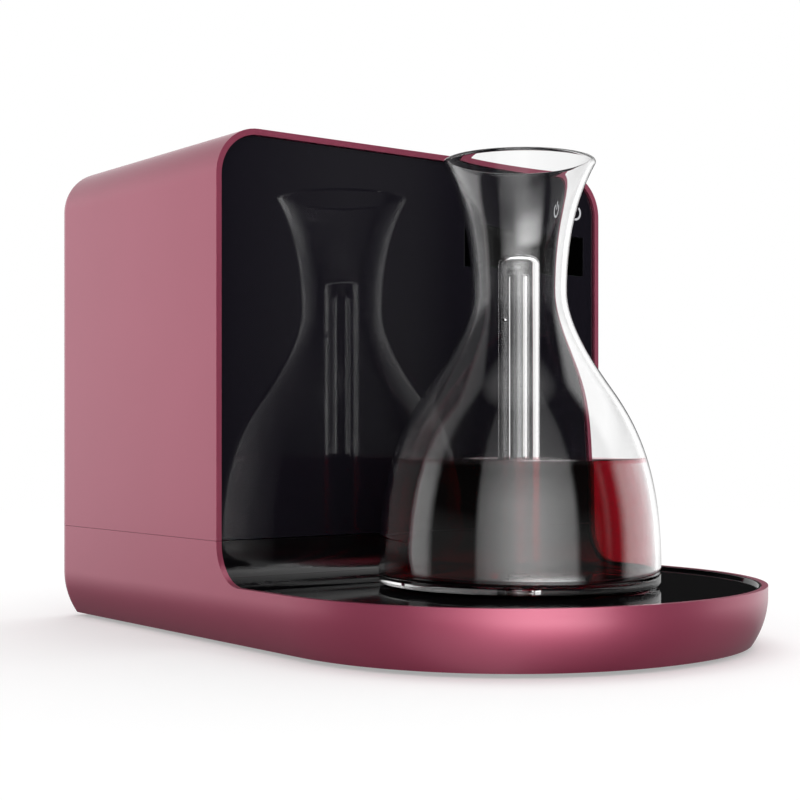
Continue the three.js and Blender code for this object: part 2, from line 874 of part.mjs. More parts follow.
function touchBoard() {
  const x = halfWidth - touchFromSide - touchBoardWidth / 2;
  const z = topZ - touchFromTop - touchBoardHeight / 2;
  const front = panelBack + fitGap;
  const chip = slab(rectangle(chipSize / 2, chipSize / 2, x, z), front, front + boardThickness + chipHeight);
  return join(slab(rectangle(touchBoardWidth, touchBoardHeight, x, z), front, front + boardThickness), chip);
}

// Carafe

const bellyCurve = new THREE.CubicBezierCurve(
  new THREE.Vector2(carafeRadius, bellyHeight),
  new THREE.Vector2(carafeRadius, bellyHeight + bellyPullShare * (shoulderHeight - bellyHeight)),
  new THREE.Vector2(
    shoulderRadius + shoulderLean * shoulderPullShare * (shoulderHeight - bellyHeight),
    shoulderHeight - shoulderPullShare * (shoulderHeight - bellyHeight),
  ),
  new THREE.Vector2(shoulderRadius, shoulderHeight),
);
const shoulderCurve = new THREE.CubicBezierCurve(
  new THREE.Vector2(shoulderRadius, shoulderHeight),
  new THREE.Vector2(
    shoulderRadius - shoulderLean * shoulderRiseShare * (neckHeight - shoulderHeight),
    shoulderHeight + shoulderRiseShare * (neckHeight - shoulderHeight),
  ),
  new THREE.Vector2(neckRadius, neckHeight - neckPullShare * (neckHeight - shoulderHeight)),
  new THREE.Vector2(neckRadius, neckHeight),
);
const lipCurve = new THREE.QuadraticBezierCurve(
  new THREE.Vector2(neckRadius, neckHeight),
  new THREE.Vector2(neckRadius, neckHeight + lipPullShare * (lipHeight - neckHeight)),
  new THREE.Vector2(lipRadius, lipHeight),
);

// Points along the wall, moved in from the outer face by depth.
function wallPoints(depth) {
  const points = [];
  [[bellyCurve, 5], [shoulderCurve, 3], [lipCurve, 4]].forEach(([curve, steps]) => {
    for (let i = points.length === 0 ? 0 : 1; i <= steps; i += 1) {
      const along = curve.getTangent(i / steps);
      const point = curve.getPoint(i / steps);
      points.push([point.x - depth * along.y, point.y + depth * along.x]);
    }
  });
  return points;
}

function lipPoints() {
  const along = lipCurve.getTangent(1);
  const [x, y] = wallPoints(glassWall / 2).pop();
  const start = Math.atan2(-along.x, along.y);
  return arc(x, y, glassWall / 2, start, start + Math.PI, 4).slice(1, 4).map((p) => [p.x, p.y]);
}

function carafe() {
  const inner = carafeRadius - glassWall;
  const heel = arc(carafeRadius - heelRadius, heelRadius, heelRadius, -Math.PI / 2, 0, 3);
  const corner = arc(inner - heelRadius, glassFloor + heelRadius, heelRadius, 0, -Math.PI / 2, 3);
  return turned([
    [gasBore, socketDepth], [socketRadius, socketDepth], [socketRadius, 0],
    ...heel.map((p) => [p.x, p.y]), ...wallPoints(0), ...lipPoints(),
    ...wallPoints(glassWall).reverse(), ...corner.map((p) => [p.x, p.y]), [gasBore, glassFloor],
  ], glassSides);
}

function riserTube() {
  const bottom = glassFloor + fitGap;
  return turned([
    [gasBore, bottom], [riserFootRadius, bottom], [riserRadius, bottom + riserFootHeight],
    [riserRadius, riserHeight], [gasBore, riserHeight],
  ], 16);
}

// Aeration tube: closed at the top and notched at the foot, so that the gas leaves near the carafe's floor.
function aerationTube() {
  const bottom = glassFloor + fitGap;
  const inner = bellRadius - bellWall;
  const outerTop = arc(bellRadius - bellShoulder, bellHeight - bellShoulder, bellShoulder,
    0, Math.PI / 2, 4);
  const innerTop = arc(bellRadius - bellShoulder, bellHeight - bellShoulder, bellShoulder - bellWall,
    Math.PI / 2, 0, 3);
  const tube = turned([
    [inner, bottom], [bellRadius, bottom], ...outerTop.map((p) => [p.x, p.y]), [0, bellHeight],
  ].concat([[0, bellHeight - bellWall], ...innerTop.map((p) => [p.x, p.y]), [inner, bottom]]), roundSides);
  const notchHigh = bottom + bellNotchHeight;
  const reach = 2 * (bellRadius + overrun);
  const across = plate(rectangle(reach, bellNotchWidth), bottom - overrun, notchHigh);
  const along = plate(rectangle(bellNotchWidth, reach), bottom - overrun, notchHigh);
  const vent = beam(circle(bellVentRadius, 0, bellVentHeight, smallSides), -bellRadius - overrun, 0);
  return cut(tube, across, along, vent);
}

// Rear cover, fan and mains inlet

const fanX = fanFromLeft + fanSize / 2 - rearCoverWidth / 2;
const fanZ = rearCoverZ - rearCoverHeight / 2 + fanFromBottom + fanSize / 2;
const inletX = rearCoverWidth / 2 - inletFromRight;
const inletZ = rearCoverZ - rearCoverHeight / 2 + inletFromBottom;
const filterX = rearCoverWidth / 2 - rearLip - filterCoverRadius - rearLip;
const filterZ = rearCoverTop - rearLip - filterCoverRadius - rearLip;

// Round slots between ribs, crossed by spokes, in front of the fan.
function fanGuardSlots() {
  const front = rearCoverFront - overrun;
  const back = rearCoverBack + overrun;
  const rings = [];
  for (let i = 0; i < guardRingCount; i += 1) {
    const inner = guardHubRadius + i * (guardSlot + guardRib);
    const hole = circle(inner, fanX, fanZ, ringSides).getPoints();
    const outer = circle(inner + guardSlot, fanX, fanZ, ringSides).getPoints();
    rings.push(slab(ringShape(outer, hole), front, back));
  }
  const spokes = [0, 1].map((i) => slab(rectangle(i ? guardSpokeWidth : fanSize,
    i ? fanSize : guardSpokeWidth, fanX, fanZ), front - overrun, back + overrun));
  return cut(join(...rings), ...spokes);
}

function intakeSlots() {
  const slots = [];
  for (let i = 0; i < intakeSlotCount; i += 1) {
    const x = filterX + (i - (intakeSlotCount - 1) / 2) * intakeSlotPitch;
    slots.push(slab(rectangle(intakeSlotWidth, intakeSlotHeight, x, filterZ),
      rearCoverFront - overrun, rearCoverBack + overrun));
  }
  return slots;
}

function fanPegs(radius, front, back) {
  return boardCorners(fanX, fanZ, 2 * fanPegSpread, 2 * fanPegSpread, 0)
    .map(([x, z]) => pin(radius, front, back, x, z));
}

function rearCover() {
  const sheet = slab(roundedRectangle(rearCoverWidth, rearCoverHeight, rearCoverCorner, 0, rearCoverZ),
    rearCoverFront, rearCoverBack);
  const pegs = fanPegs(fanPegRadius, rearCoverFront - fanPegLength, rearCoverFront + joinDepth);
  const inlet = slab(rectangle(inletWidth + 2 * fitGap, inletHeight + 2 * fitGap, inletX, inletZ),
    rearCoverFront - overrun, rearCoverBack + overrun);
  const holes = rearScrewPlaces().flatMap(({ x, z }) => [
    pin(rearScrewShankRadius + fitGap, rearCoverFront - overrun, rearCoverBack + overrun, x, z),
    pin(rearScrewHeadRadius + fitGap, rearCoverBack - rearScrewHeadHeight - fitGap,
      rearCoverBack + overrun, x, z),
  ]);
  return cut(join(sheet, ...pegs), fanGuardSlots(), inlet, ...intakeSlots(), ...holes);
}

const fanBack = rearCoverFront - fitGap;
const fanFront = fanBack - fanDepth;

function fanFrame() {
  const square = slab(roundedRectangle(fanSize, fanSize, fanCorner, fanX, fanZ), fanFront, fanBack);
  const bore = pin(fanBoreRadius, fanFront - overrun, fanBack + overrun, fanX, fanZ, roundSides);
  const motor = pin(fanHubRadius, fanFront, fanFront + fanMotorDepth, fanX, fanZ, roundSides);
  const reach = 2 * fanBoreRadius + joinDepth;
  const spokes = [];
  for (let i = 0; i < fanSpokeCount / 2; i += 1) {
    const spoke = slab(rectangle(reach, fanSpokeWidth), fanFront, fanFront + fanMotorDepth - joinDepth);
    spokes.push(spoke.rotateY(i * 2 * Math.PI / fanSpokeCount).translate(fanX, 0, fanZ));
  }
  const shaft = pin(rotorShaftRadius + fitGap, fanFront + fitGap, fanBack, fanX, fanZ);
  const holes = fanPegs(fanPegRadius + fitGap, fanBack - fanPegLength - fitGap, fanBack + overrun);
  return cut(join(cut(square, bore), motor, ...spokes), shaft, ...holes);
}

// A blade is a skin through flat sections, each turned to the pitch at its radius.
function fanBlade(angle) {
  const outward = new THREE.Vector3(Math.cos(angle), 0, Math.sin(angle));
  const sideways = new THREE.Vector3(-Math.sin(angle), 0, Math.cos(angle));
  const axis = new THREE.Vector3(0, 1, 0);
  const root = rotorHubRadius - joinDepth;
  const tip = fanBoreRadius - fanTipGap;
  const loops = [];
  for (let i = 0; i <= 3; i += 1) {
    const share = i / 3;
    const pitch = THREE.MathUtils.degToRad(bladeRootPitch + (bladeTipPitch - bladeRootPitch) * share);
    const chord = sideways.clone().multiplyScalar(Math.cos(pitch)).addScaledVector(axis, Math.sin(pitch));
    const normal = sideways.clone().multiplyScalar(-Math.sin(pitch)).addScaledVector(axis, Math.cos(pitch));
    const centre = outward.clone().multiplyScalar(root + (tip - root) * share);
    loops.push([[-1, -1], [1, -1], [1, 1], [-1, 1]].map(([i, j]) => centre.clone()
      .addScaledVector(chord, i * bladeChord / 2).addScaledVector(normal, j * bladeThickness / 2)));
  }
  return loft(loops);
}

// Rotor, built round its own axis with the hub's middle at the origin.
function fanRotor() {
  const hub = pin(rotorHubRadius, -rotorHubLength / 2, rotorHubLength / 2, 0, 0, roundSides);
  const shaft = pin(rotorShaftRadius, -rotorHubLength / 2 - rotorShaftLength - fitGap, 0);
  const blades = [];
  for (let i = 0; i < bladeCount; i += 1) {
    blades.push(fanBlade(i * 2 * Math.PI / bladeCount));
  }
  return join(hub, shaft, ...blades);
}

const inletFront = rearCoverBack - inletDepth;

// Two-pole appliance inlet: a shroud whose socket is two joined rounds.
function mainsInlet() {
  const body = slab(rectangle(inletWidth, inletHeight, inletX, inletZ), inletFront, rearCoverBack);
  const collar = slab(rectangle(inletWidth + 2 * inletWall, inletHeight + 2 * inletWall, inletX, inletZ),
    rearCoverFront - fitGap - inletWall, rearCoverFront - fitGap);
  const lobes = [-1, 1].map((side) => pin(inletLobeRadius, inletFront + inletFloor,
    rearCoverBack + overrun, inletX + side * inletPinSpread, inletZ, roundSides));
  const middle = slab(rectangle(2 * inletPinSpread, 2 * inletLobeRadius - inletWall / 2, inletX, inletZ),
    inletFront + inletFloor, rearCoverBack + overrun);
  const holes = [-1, 1].map((side) => pin(inletPinRadius + fitGap, inletFront - overrun,
    rearCoverBack, inletX + side * inletPinSpread, inletZ));
  return cut(join(body, collar), ...lobes, middle, ...holes);
}

function inletPin(side) {
  return pin(inletPinRadius, inletFront - inletPinTail, rearCoverBack - inletPinSink,
    inletX + side * inletPinSpread, inletZ);
}

// Compressor, built round its own axis with the base plate's top at height zero

const bracketZ = fitGap + isolatorHeight + fitGap;
const springZ = bracketZ + bracketSheet + fitGap;
const shuttleZ = springZ + springLength + fitGap;
const coreZ = shuttleZ + coreLift;
const cylinderZ = coreZ + coreHeight + cylinderLift;
const headZ = cylinderZ + cylinderFlange + cylinderHeight + fitGap;
const bracketGap = bracketWidth - 2 * bracketSheet - 2 * fitGap;

function isolator() {
  return turned([
    [0, 0], [isolatorRadius, 0], [isolatorWaist, isolatorHeight / 2],
    [isolatorRadius, isolatorHeight], [0, isolatorHeight],
  ], 12);
}

function compressorBracket() {
  const half = bracketWidth / 2;
  const inner = half - bracketSheet;
  const top = bracketZ + bracketHeight;
  const shape = new THREE.Shape([
    [-half, bracketZ], [half, bracketZ], [half, top], [inner, top],
    [inner, bracketZ + bracketSheet], [-inner, bracketZ + bracketSheet], [-inner, top], [-half, top],
  ].map(([x, z]) => new THREE.Vector2(x, z)));
  return slab(shape, -bracketLength / 2, bracketLength / 2);
}

function returnSpring() {
  const points = [];
  const steps = springTurns * smallSides;
  const rise = springLength - 2 * springWire;
  for (let i = 0; i <= steps; i += 1) {
    const angle = 2 * Math.PI * springTurns * i / steps;
    const height = springZ + springWire + rise * i / steps;
    points.push([springRadius * Math.cos(angle), springRadius * Math.sin(angle), height]);
  }
  return hose(points, springWire, steps, 5);
}

function pistonShuttle() {
  const levels = [shuttleZ];
  [armatureSeatHeight, armatureLength, pistonNeckLength, pistonLength].forEach((length) => {
    levels.push(levels[levels.length - 1] + length);
  });
  const radii = [armatureSeatRadius, armatureRadius, pistonNeckRadius, pistonRadius];
  const profile = [[0, levels[0]]];
  radii.forEach((radius, i) => profile.push([radius, levels[i]], [radius, levels[i + 1]]));
  profile.push([0, levels[4]]);
  return turned(profile);
}

function magnetCore() {
  const block = plate(rectangle(bracketGap, coreLength), coreZ, coreZ + coreHeight);
  const bore = rod(armatureRadius + 2 * fitGap, coreZ - overrun, coreZ + coreHeight + overrun, 0, 0, roundSides);
  const chamber = rod(coilRadius + fitGap, coreZ + coreCheek, coreZ + coreHeight - coreCheek, 0, 0, roundSides);
  return cut(block, bore, chamber);
}

function magnetCoil() {
  const bottom = coreZ + coreCheek + fitGap;
  const top = coreZ + coreHeight - coreCheek - fitGap;
  const inner = armatureRadius + coilWall;
  return turned([[inner, bottom], [coilRadius, bottom], [coilRadius, top], [inner, top]]);
}

function compressorCylinder() {
  const bottom = cylinderZ;
  const top = bottom + cylinderFlange + cylinderHeight;
  const outer = cylinderBore + cylinderWall;
  const flange = plate(rectangle(bracketGap, coreLength), bottom, bottom + cylinderFlange);
  const fins = [];
  for (let i = 1; i <= cylinderFinCount; i += 1) {
    const z = bottom + cylinderFlange + i * (cylinderHeight - cylinderFinHeight) / cylinderFinCount;
    fins.push(rod(outer + cylinderFinReach, z, z + cylinderFinHeight, 0, 0, roundSides));
  }
  const bore = rod(cylinderBore, bottom - overrun, top + overrun, 0, 0, roundSides);
  return cut(join(flange, rod(outer, bottom, top, 0, 0, roundSides), ...fins), bore);
}

function compressorHead() {
  const top = headZ + headHeight;
  const nipples = [-1, 1].map((side) => rod(nippleRadius, top - joinDepth, top + nippleLength,
    side * headPortSpread, 0));
  return join(rod(headRadius, headZ, top, 0, 0, roundSides), ...nipples);
}

// Oxygen columns

const columnY = rearY - bodyDepth * columnRearShare - columnRadius;
const columnXs = [innerHalf - columnFromSide - columnRadius - columnPitch,
  innerHalf - columnFromSide - columnRadius];
const columnMiddle = (columnXs[0] + columnXs[1]) / 2;
const saddleZ = floorZ + fitGap;
const columnZ = saddleZ + saddleHeight - saddlePocket + fitGap;
const capZ = columnZ + columnHeight + fitGap;
const valveZ = capZ + capHeight + fitGap;

function columnSaddle() {
  const width = columnPitch + 2 * (columnRadius + saddleMargin);
  const block = plate(rectangle(width, 2 * (columnRadius + saddleMargin), columnMiddle, columnY),
    saddleZ, saddleZ + saddleHeight);
  return cut(block, ...columnXs.map((x) => rod(columnRadius + fitGap, columnZ - fitGap,
    saddleZ + saddleHeight + overrun, x, columnY, roundSides)));
}

function oxygenColumn() {
  const waist = columnRadius - columnGroove;
  const low = columnGrooveFromEnd;
  const high = columnHeight - columnGrooveFromEnd;
  return turned([
    [0, 0], [columnRadius, 0], [columnRadius, low - columnGroove], [waist, low],
    [columnRadius, low + columnGroove], [columnRadius, high - columnGroove], [waist, high],
    [columnRadius, high + columnGroove], [columnRadius, columnHeight], [0, columnHeight],
  ]);
}

function columnCap() {
  return turned([
    [0, 0], [columnRadius, 0], [columnRadius, capHeight], [capSocketRadius, capHeight],
    [capSocketRadius, capHeight - capSocketDepth], [0, capHeight - capSocketDepth],
  ]);
}

function valveBlock() {
  const top = valveZ + valveBlockHeight;
  const block = plate(rectangle(valveBlockWidth, valveBlockLength, columnMiddle, columnY), valveZ, top);
  const spigots = columnXs.map((x) => rod(valveSpigotRadius, valveZ - capSocketDepth, valveZ + joinDepth,
    x, columnY));
  const left = columnMiddle - valveBlockWidth / 2;
  const inletNipple = beam(circle(nippleRadius, columnY, valveZ + valveBlockHeight / 2, smallSides),
    left - nippleLength, left + joinDepth);
  const front = columnY - valveBlockLength / 2;
  const outletNipple = pin(nippleRadius, front - nippleLength, front + joinDepth, columnXs[0],
    valveZ + valveBlockHeight / 2);
  return join(block, ...spigots, inletNipple, outletNipple);
}

function solenoid() {
  return turned([
    [0, 0], [solenoidRadius, 0], [solenoidRadius, solenoidHeight - solenoidCapHeight],
    [solenoidRadius / 2, solenoidHeight - solenoidCapHeight], [solenoidRadius / 2, solenoidHeight],
    [0, solenoidHeight],
  ], 16);
}

// Boards

function powerBoard() {
  const top = powerBoardZ + boardThickness;
  const root = top - boardThickness / 2;
  const board = plate(rectangle(powerBoardWidth, powerBoardLength, powerBoardX, powerBoardY),
    powerBoardZ, top);
  const front = powerBoardY - powerBoardLength / 2 + standoffInset + capacitorRadius;
  const right = powerBoardX + powerBoardWidth / 2 - standoffInset - 2 * capacitorRadius;
  const capacitors = [0, 1].map((i) => rod(capacitorRadius, root, top + capacitorHeight,
    right - i * capacitorPitch, front));
  const sinkX = powerBoardX - powerBoardWidth / 2 + standoffInset + heatSinkLength / 2;
  const sinkBack = powerBoardY - powerBoardLength / 2 + standoffInset + heatSinkDepth;
  const fins = [];
  for (let i = 0; i < heatSinkFinCount; i += 1) {
    const x = sinkX + (i / (heatSinkFinCount - 1) - 1 / 2) * (heatSinkLength - heatSinkFin);
    fins.push(plate(rectangle(heatSinkFin, heatSinkDepth, x, sinkBack - heatSinkDepth / 2),
      root, top + heatSinkHeight));
  }
  const web = plate(rectangle(heatSinkLength, heatSinkFin, sinkX, sinkBack - heatSinkFin / 2),
    root, top + heatSinkHeight);
  return join(board, ...capacitors, web, ...fins);
}

function transformer() {
  const bottom = powerBoardZ + boardThickness + fitGap;
  const x = powerBoardX + powerBoardWidth / 2 - standoffInset - transformerWidth / 2;
  const y = powerBoardY + powerBoardLength / 2 - standoffInset - transformerLength / 2 - bobbinOverhang;
  const core = plate(rectangle(transformerWidth, transformerLength - 2 * bobbinOverhang, x, y),
    bottom, bottom + transformerHeight);
  const winding = plate(roundedRectangle(transformerWidth - 2 * transformerYoke, transformerLength,
    bobbinOverhang, x, y), bottom, bottom + transformerHeight - transformerYoke);
  return join(core, winding);
}

function controlBoard() {
  const left = controlBoardX - boardThickness;
  const board = beam(rectangle(controlBoardLength, controlBoardHeight, controlBoardY, controlBoardZ),
    left, controlBoardX);
  const chips = [-1, 1].map((side) => beam(
    rectangle(chipSize, chipSize, controlBoardY, controlBoardZ + side * chipSize),
    left - chipHeight, controlBoardX - boardThickness / 2,
  ));
  return join(board, ...chips);
}

// Filter, hoses and lead

const filterBack = rearCoverFront - fitGap;

function intakeFilter() {
  const front = filterBack - filterLength;
  const body = pin(filterRadius, front, filterBack, filterX, filterZ, roundSides);
  const cover = pin(filterCoverRadius, filterBack - filterCoverLength, filterBack, filterX, filterZ,
    roundSides);
  const left = filterX - filterRadius;
  const middle = filterBack - filterLength / 2 - filterCoverLength / 2;
  const nipple = beam(circle(nippleRadius, middle, filterZ, smallSides), left - nippleLength,
    left + 2 * nippleRadius);
  return join(body, cover, nipple);
}

const headTop = floorZ + headZ + headHeight + nippleLength + fitGap;
const valveMiddleZ = valveZ + valveBlockHeight / 2;
const aisleX = powerBoardX - powerBoardWidth / 2 - 2 * hoseRadius;

function intakeHose() {
  const x = filterX - filterRadius - nippleLength - fitGap;
  const y = filterBack - filterLength / 2 - filterCoverLength / 2;
  const portX = compressorX - headPortSpread;
  return hose([
    [x, y, filterZ], [x - hoseSag, y, filterZ],
    [(x + portX) / 2, fanFront - 2 * hoseRadius, filterZ + hoseSag / 2],
    [portX, compressorY + hoseSag, headTop + 2 * hoseSag], [portX, compressorY, headTop + hoseSag],
    [portX, compressorY, headTop],
  ], hoseRadius, 15);
}

function deliveryHose() {
  const x = columnMiddle - valveBlockWidth / 2 - nippleLength - fitGap;
  const portX = compressorX + headPortSpread;
  return hose([
    [x, columnY, valveMiddleZ], [x - hoseSag, columnY, valveMiddleZ],
    [portX + hoseSag, compressorY - hoseSag, headTop + 2 * hoseSag],
    [portX, compressorY, headTop + hoseSag], [portX, compressorY, headTop],
  ], hoseRadius, 12);
}

function productHose() {
  const y = columnY - valveBlockLength / 2 - nippleLength - fitGap;
  const nippleZ = linerBottom - fitGap - nozzleFlangeHeight - nippleLength - fitGap;
  const low = floorZ + 2 * hoseRadius;
  return hose([
    [columnXs[0], y, valveMiddleZ], [columnXs[0], y - hoseSag / 2, valveMiddleZ],
    [aisleX, y - hoseSag, valveMiddleZ - 2 * hoseSag], [aisleX, powerBoardY, seamZ],
    [aisleX, panelBack, low + hoseSag / 3], [0, faceY - coveRadius, low],
    [0, carafeY + hoseSag, low - hoseRadius / 2], [0, carafeY + hoseRadius, low - hoseRadius / 2],
    [0, carafeY, nippleZ - hoseRadius], [0, carafeY, nippleZ],
  ], hoseRadius, 20);
}

function mainsLead() {
  const y = inletFront - inletPinTail - fitGap - leadRadius;
  const boardTop = powerBoardZ + boardThickness + fitGap;
  const landing = powerBoardX - powerBoardWidth / 2 + 2 * standoffInset;
  const side = columnXs[0] - columnRadius - saddleMargin - 2 * leadRadius;
  return hose([
    [inletX, y, inletZ], [columnMiddle, y, inletZ - hoseSag], [side, y, seamZ],
    [side, columnY, seamZ - hoseSag], [landing, powerBoardY + powerBoardLength / 2, boardTop + hoseSag],
    [landing, powerBoardY + powerBoardLength / 3, boardTop + leadRadius],
  ], leadRadius, 16);
}

// Finishes

const anodised = { color: 0xa9566d, roughness: 0.35, metalness: 0.8 };
const blackGloss = { color: 0x0c0b0e, roughness: 0.06, metalness: 0 };
const clearGlass = { color: 0xf3f6f5, roughness: 0.02, metalness: 0, transparent: true, opacity: 0.3 };
const blackPlastic = { color: 0x1b1b1d, roughness: 0.55, metalness: 0 };
const rubber = { color: 0x141414, roughness: 0.85, metalness: 0 };
const silicone = { color: 0xd9d9d6, roughness: 0.6, metalness: 0 };
const steel = { color: 0x9a9da1, roughness: 0.35, metalness: 1 };
const aluminium = { color: 0xb9bcc0, roughness: 0.4, metalness: 1 };
const brass = { color: 0xc2a25a, roughness: 0.3, metalness: 1 };
const copper = { color: 0xa4562a, roughness: 0.4, metalness: 0.9 };
const boardGreen = { color: 0x1f5a36, roughness: 0.5, metalness: 0 };
const whitePlastic = { color: 0xdedddb, roughness: 0.5, metalness: 0 };

function addPiece(parent, name, geometry, finish, x = 0, y = 0, z = 0) {
  const mesh = new THREE.Mesh(geometry, new THREE.MeshStandardMaterial(finish));
  mesh.name = name;
  mesh.position.set(x, y, z);
  parent.add(mesh);
  return mesh;
}

const decanter = new THREE.Group();

addPiece(decanter, 'base_shell', baseShell(), anodised);
addPiece(decanter, 'upper_cover', upperCover(), anodised);
addPiece(decanter, 'base_plate', basePlate(), blackPlastic);
footPlaces().forEach(([name, x, y]) => addPiece(decanter, `foot_${name}`, foot(), rubber, x, y));
baseScrewPlaces().forEach(({ name, row, x, y }) => {
  const body = screw(screwShankRadius, screwHeadRadius, screwHeadHeight - fitGap, baseScrewLength);
  addPiece(decanter, `base_screw_${row}_${name}`, body, steel, x, y, basePlateBottom - fitGap);
});

addPiece(decanter, 'tray_liner', trayLiner(), blackGloss);
addPiece(decanter, 'seat_gasket', seatGasket(), rubber, 0, carafeY);
addPiece(decanter, 'gas_nozzle', gasNozzle(), steel, 0, carafeY);
addPiece(decanter, 'nozzle_o_ring', nozzleRing(), rubber, 0, carafeY);

addPiece(decanter, 'front_panel', frontPanel(), blackGloss);
addPiece(decanter, 'display_window', displayWindow(), blackGloss);
addPiece(decanter, 'display_board', displayBoard(), boardGreen);
addPiece(decanter, 'touch_board', touchBoard(), boardGreen);

const carafeGroup = new THREE.Group();
carafeGroup.position.set(0, carafeY, carafeZ);
decanter.add(carafeGroup);
addPiece(carafeGroup, 'carafe', carafe(), clearGlass);
addPiece(carafeGroup, 'riser_tube', riserTube(), clearGlass);
addPiece(carafeGroup, 'aeration_tube', aerationTube(), clearGlass);

addPiece(decanter, 'rear_cover', rearCover(), blackPlastic);
rearScrewPlaces().forEach(({ name, x, z }) => {
  const body = screw(rearScrewShankRadius, rearScrewHeadRadius, rearScrewHeadHeight, rearScrewLength);
  body.rotateX(Math.PI / 2);
  const seat = rearCoverBack - rearScrewHeadHeight;
  addPiece(decanter, `rear_screw_${name}`, body, steel, x, seat, z);
});
addPiece(decanter, 'fan_frame', fanFrame(), blackPlastic);
const rotorY = fanFront + fanMotorDepth + fitGap + rotorHubLength / 2;
addPiece(decanter, 'fan_rotor', fanRotor(), blackPlastic, fanX, rotorY, fanZ);
addPiece(decanter, 'mains_inlet', mainsInlet(), blackPlastic);
addPiece(decanter, 'inlet_pin_left', inletPin(-1), brass);
addPiece(decanter, 'inlet_pin_right', inletPin(1), brass);

const compressor = new THREE.Group();
compressor.position.set(compressorX, compressorY, floorZ);
decanter.add(compressor);
boardCorners(0, 0, bracketWidth, bracketLength, isolatorInset).forEach(([x, y], i) => {
  addPiece(compressor, `isolator_${i + 1}`, isolator(), rubber, x, y, fitGap);
});
addPiece(compressor, 'compressor_bracket', compressorBracket(), steel);
addPiece(compressor, 'return_spring', returnSpring(), steel);
addPiece(compressor, 'piston_shuttle', pistonShuttle(), steel);
addPiece(compressor, 'magnet_core', magnetCore(), steel);
addPiece(compressor, 'magnet_coil', magnetCoil(), copper);
addPiece(compressor, 'compressor_cylinder', compressorCylinder(), aluminium);
addPiece(compressor, 'compressor_head', compressorHead(), aluminium);

addPiece(decanter, 'column_saddle', columnSaddle(), blackPlastic);
columnXs.forEach((x, i) => {
  const side = i === 0 ? 'left' : 'right';
  addPiece(decanter, `oxygen_column_${side}`, oxygenColumn(), aluminium, x, columnY, columnZ);
  addPiece(decanter, `column_cap_${side}`, columnCap(), whitePlastic, x, columnY, capZ);
  addPiece(decanter, `solenoid_${side}`, solenoid(), copper, x, columnY, valveZ + valveBlockHeight + fitGap);
});
addPiece(decanter, 'valve_block', valveBlock(), brass);

addPiece(decanter, 'power_board', powerBoard(), boardGreen);
addPiece(decanter, 'transformer', transformer(), copper);
addPiece(decanter, 'control_board', controlBoard(), boardGreen);
addPiece(decanter, 'intake_filter', intakeFilter(), whitePlastic);
addPiece(decanter, 'intake_hose', intakeHose(), silicone);
addPiece(decanter, 'delivery_hose', deliveryHose(), silicone);
addPiece(decanter, 'product_hose', productHose(), silicone);
addPiece(decanter, 'mains_lead', mainsLead(), blackPlastic);

export default decanter;
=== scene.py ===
# %% [markdown]
# # An electric wine decanter
# The object is an arched metal housing with a black front, a half-round tray and a glass carafe of red
# wine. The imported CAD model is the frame: it gives every place and size. This script gives the surfaces
# that one sees: rounded shells, blown glass, wine, gloss and satin finishes. Everything is in metres, +Z
# up, front towards -Y.

# %% Load the frame
import json
import math

import bmesh
import bpy
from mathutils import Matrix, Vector


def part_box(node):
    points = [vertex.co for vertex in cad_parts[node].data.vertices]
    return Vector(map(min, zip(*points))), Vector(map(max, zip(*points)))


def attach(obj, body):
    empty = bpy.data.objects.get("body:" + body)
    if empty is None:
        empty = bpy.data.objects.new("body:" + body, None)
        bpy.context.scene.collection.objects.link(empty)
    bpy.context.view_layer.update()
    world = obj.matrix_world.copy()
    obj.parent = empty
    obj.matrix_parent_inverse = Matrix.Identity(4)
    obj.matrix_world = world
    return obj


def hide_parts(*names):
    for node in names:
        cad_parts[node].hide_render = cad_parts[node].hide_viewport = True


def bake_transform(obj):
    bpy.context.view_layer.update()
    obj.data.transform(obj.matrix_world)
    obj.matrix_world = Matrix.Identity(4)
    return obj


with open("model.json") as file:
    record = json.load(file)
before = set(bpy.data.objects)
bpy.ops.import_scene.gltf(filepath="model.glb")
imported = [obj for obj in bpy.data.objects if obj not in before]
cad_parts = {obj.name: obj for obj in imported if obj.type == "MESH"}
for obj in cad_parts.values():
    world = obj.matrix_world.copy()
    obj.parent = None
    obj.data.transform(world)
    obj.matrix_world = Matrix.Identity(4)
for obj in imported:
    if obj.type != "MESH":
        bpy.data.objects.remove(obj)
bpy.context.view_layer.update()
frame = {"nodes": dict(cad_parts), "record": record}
MM = 0.001
nodes = frame["nodes"]
scene = bpy.context.scene
print("nodes in the frame:", len(nodes))


# %% [markdown]
# ## Small helpers
# Colours are written as sRGB hex values, the way a paint swatch gives them, and one function turns them
# into the linear numbers that shaders use. Materials and geometry are both trees of nodes, which could be
# wired by hand in the editor; here one small function adds a node with its settings and its links, so
# that a tree reads from top to bottom.

# %% Colour and node helpers
def linear(hex_colour):
    """An sRGB hex colour as linear red, green, blue and alpha."""
    parts = [int(hex_colour[i:i + 2], 16) / 255 for i in (0, 2, 4)]
    return [c / 12.92 if c <= 0.04045 else ((c + 0.055) / 1.055) ** 2.4 for c in parts] + [1.0]


def first_output(value):
    """A node's first output, or the value as it is."""
    return value.outputs[0] if isinstance(value, bpy.types.Node) else value


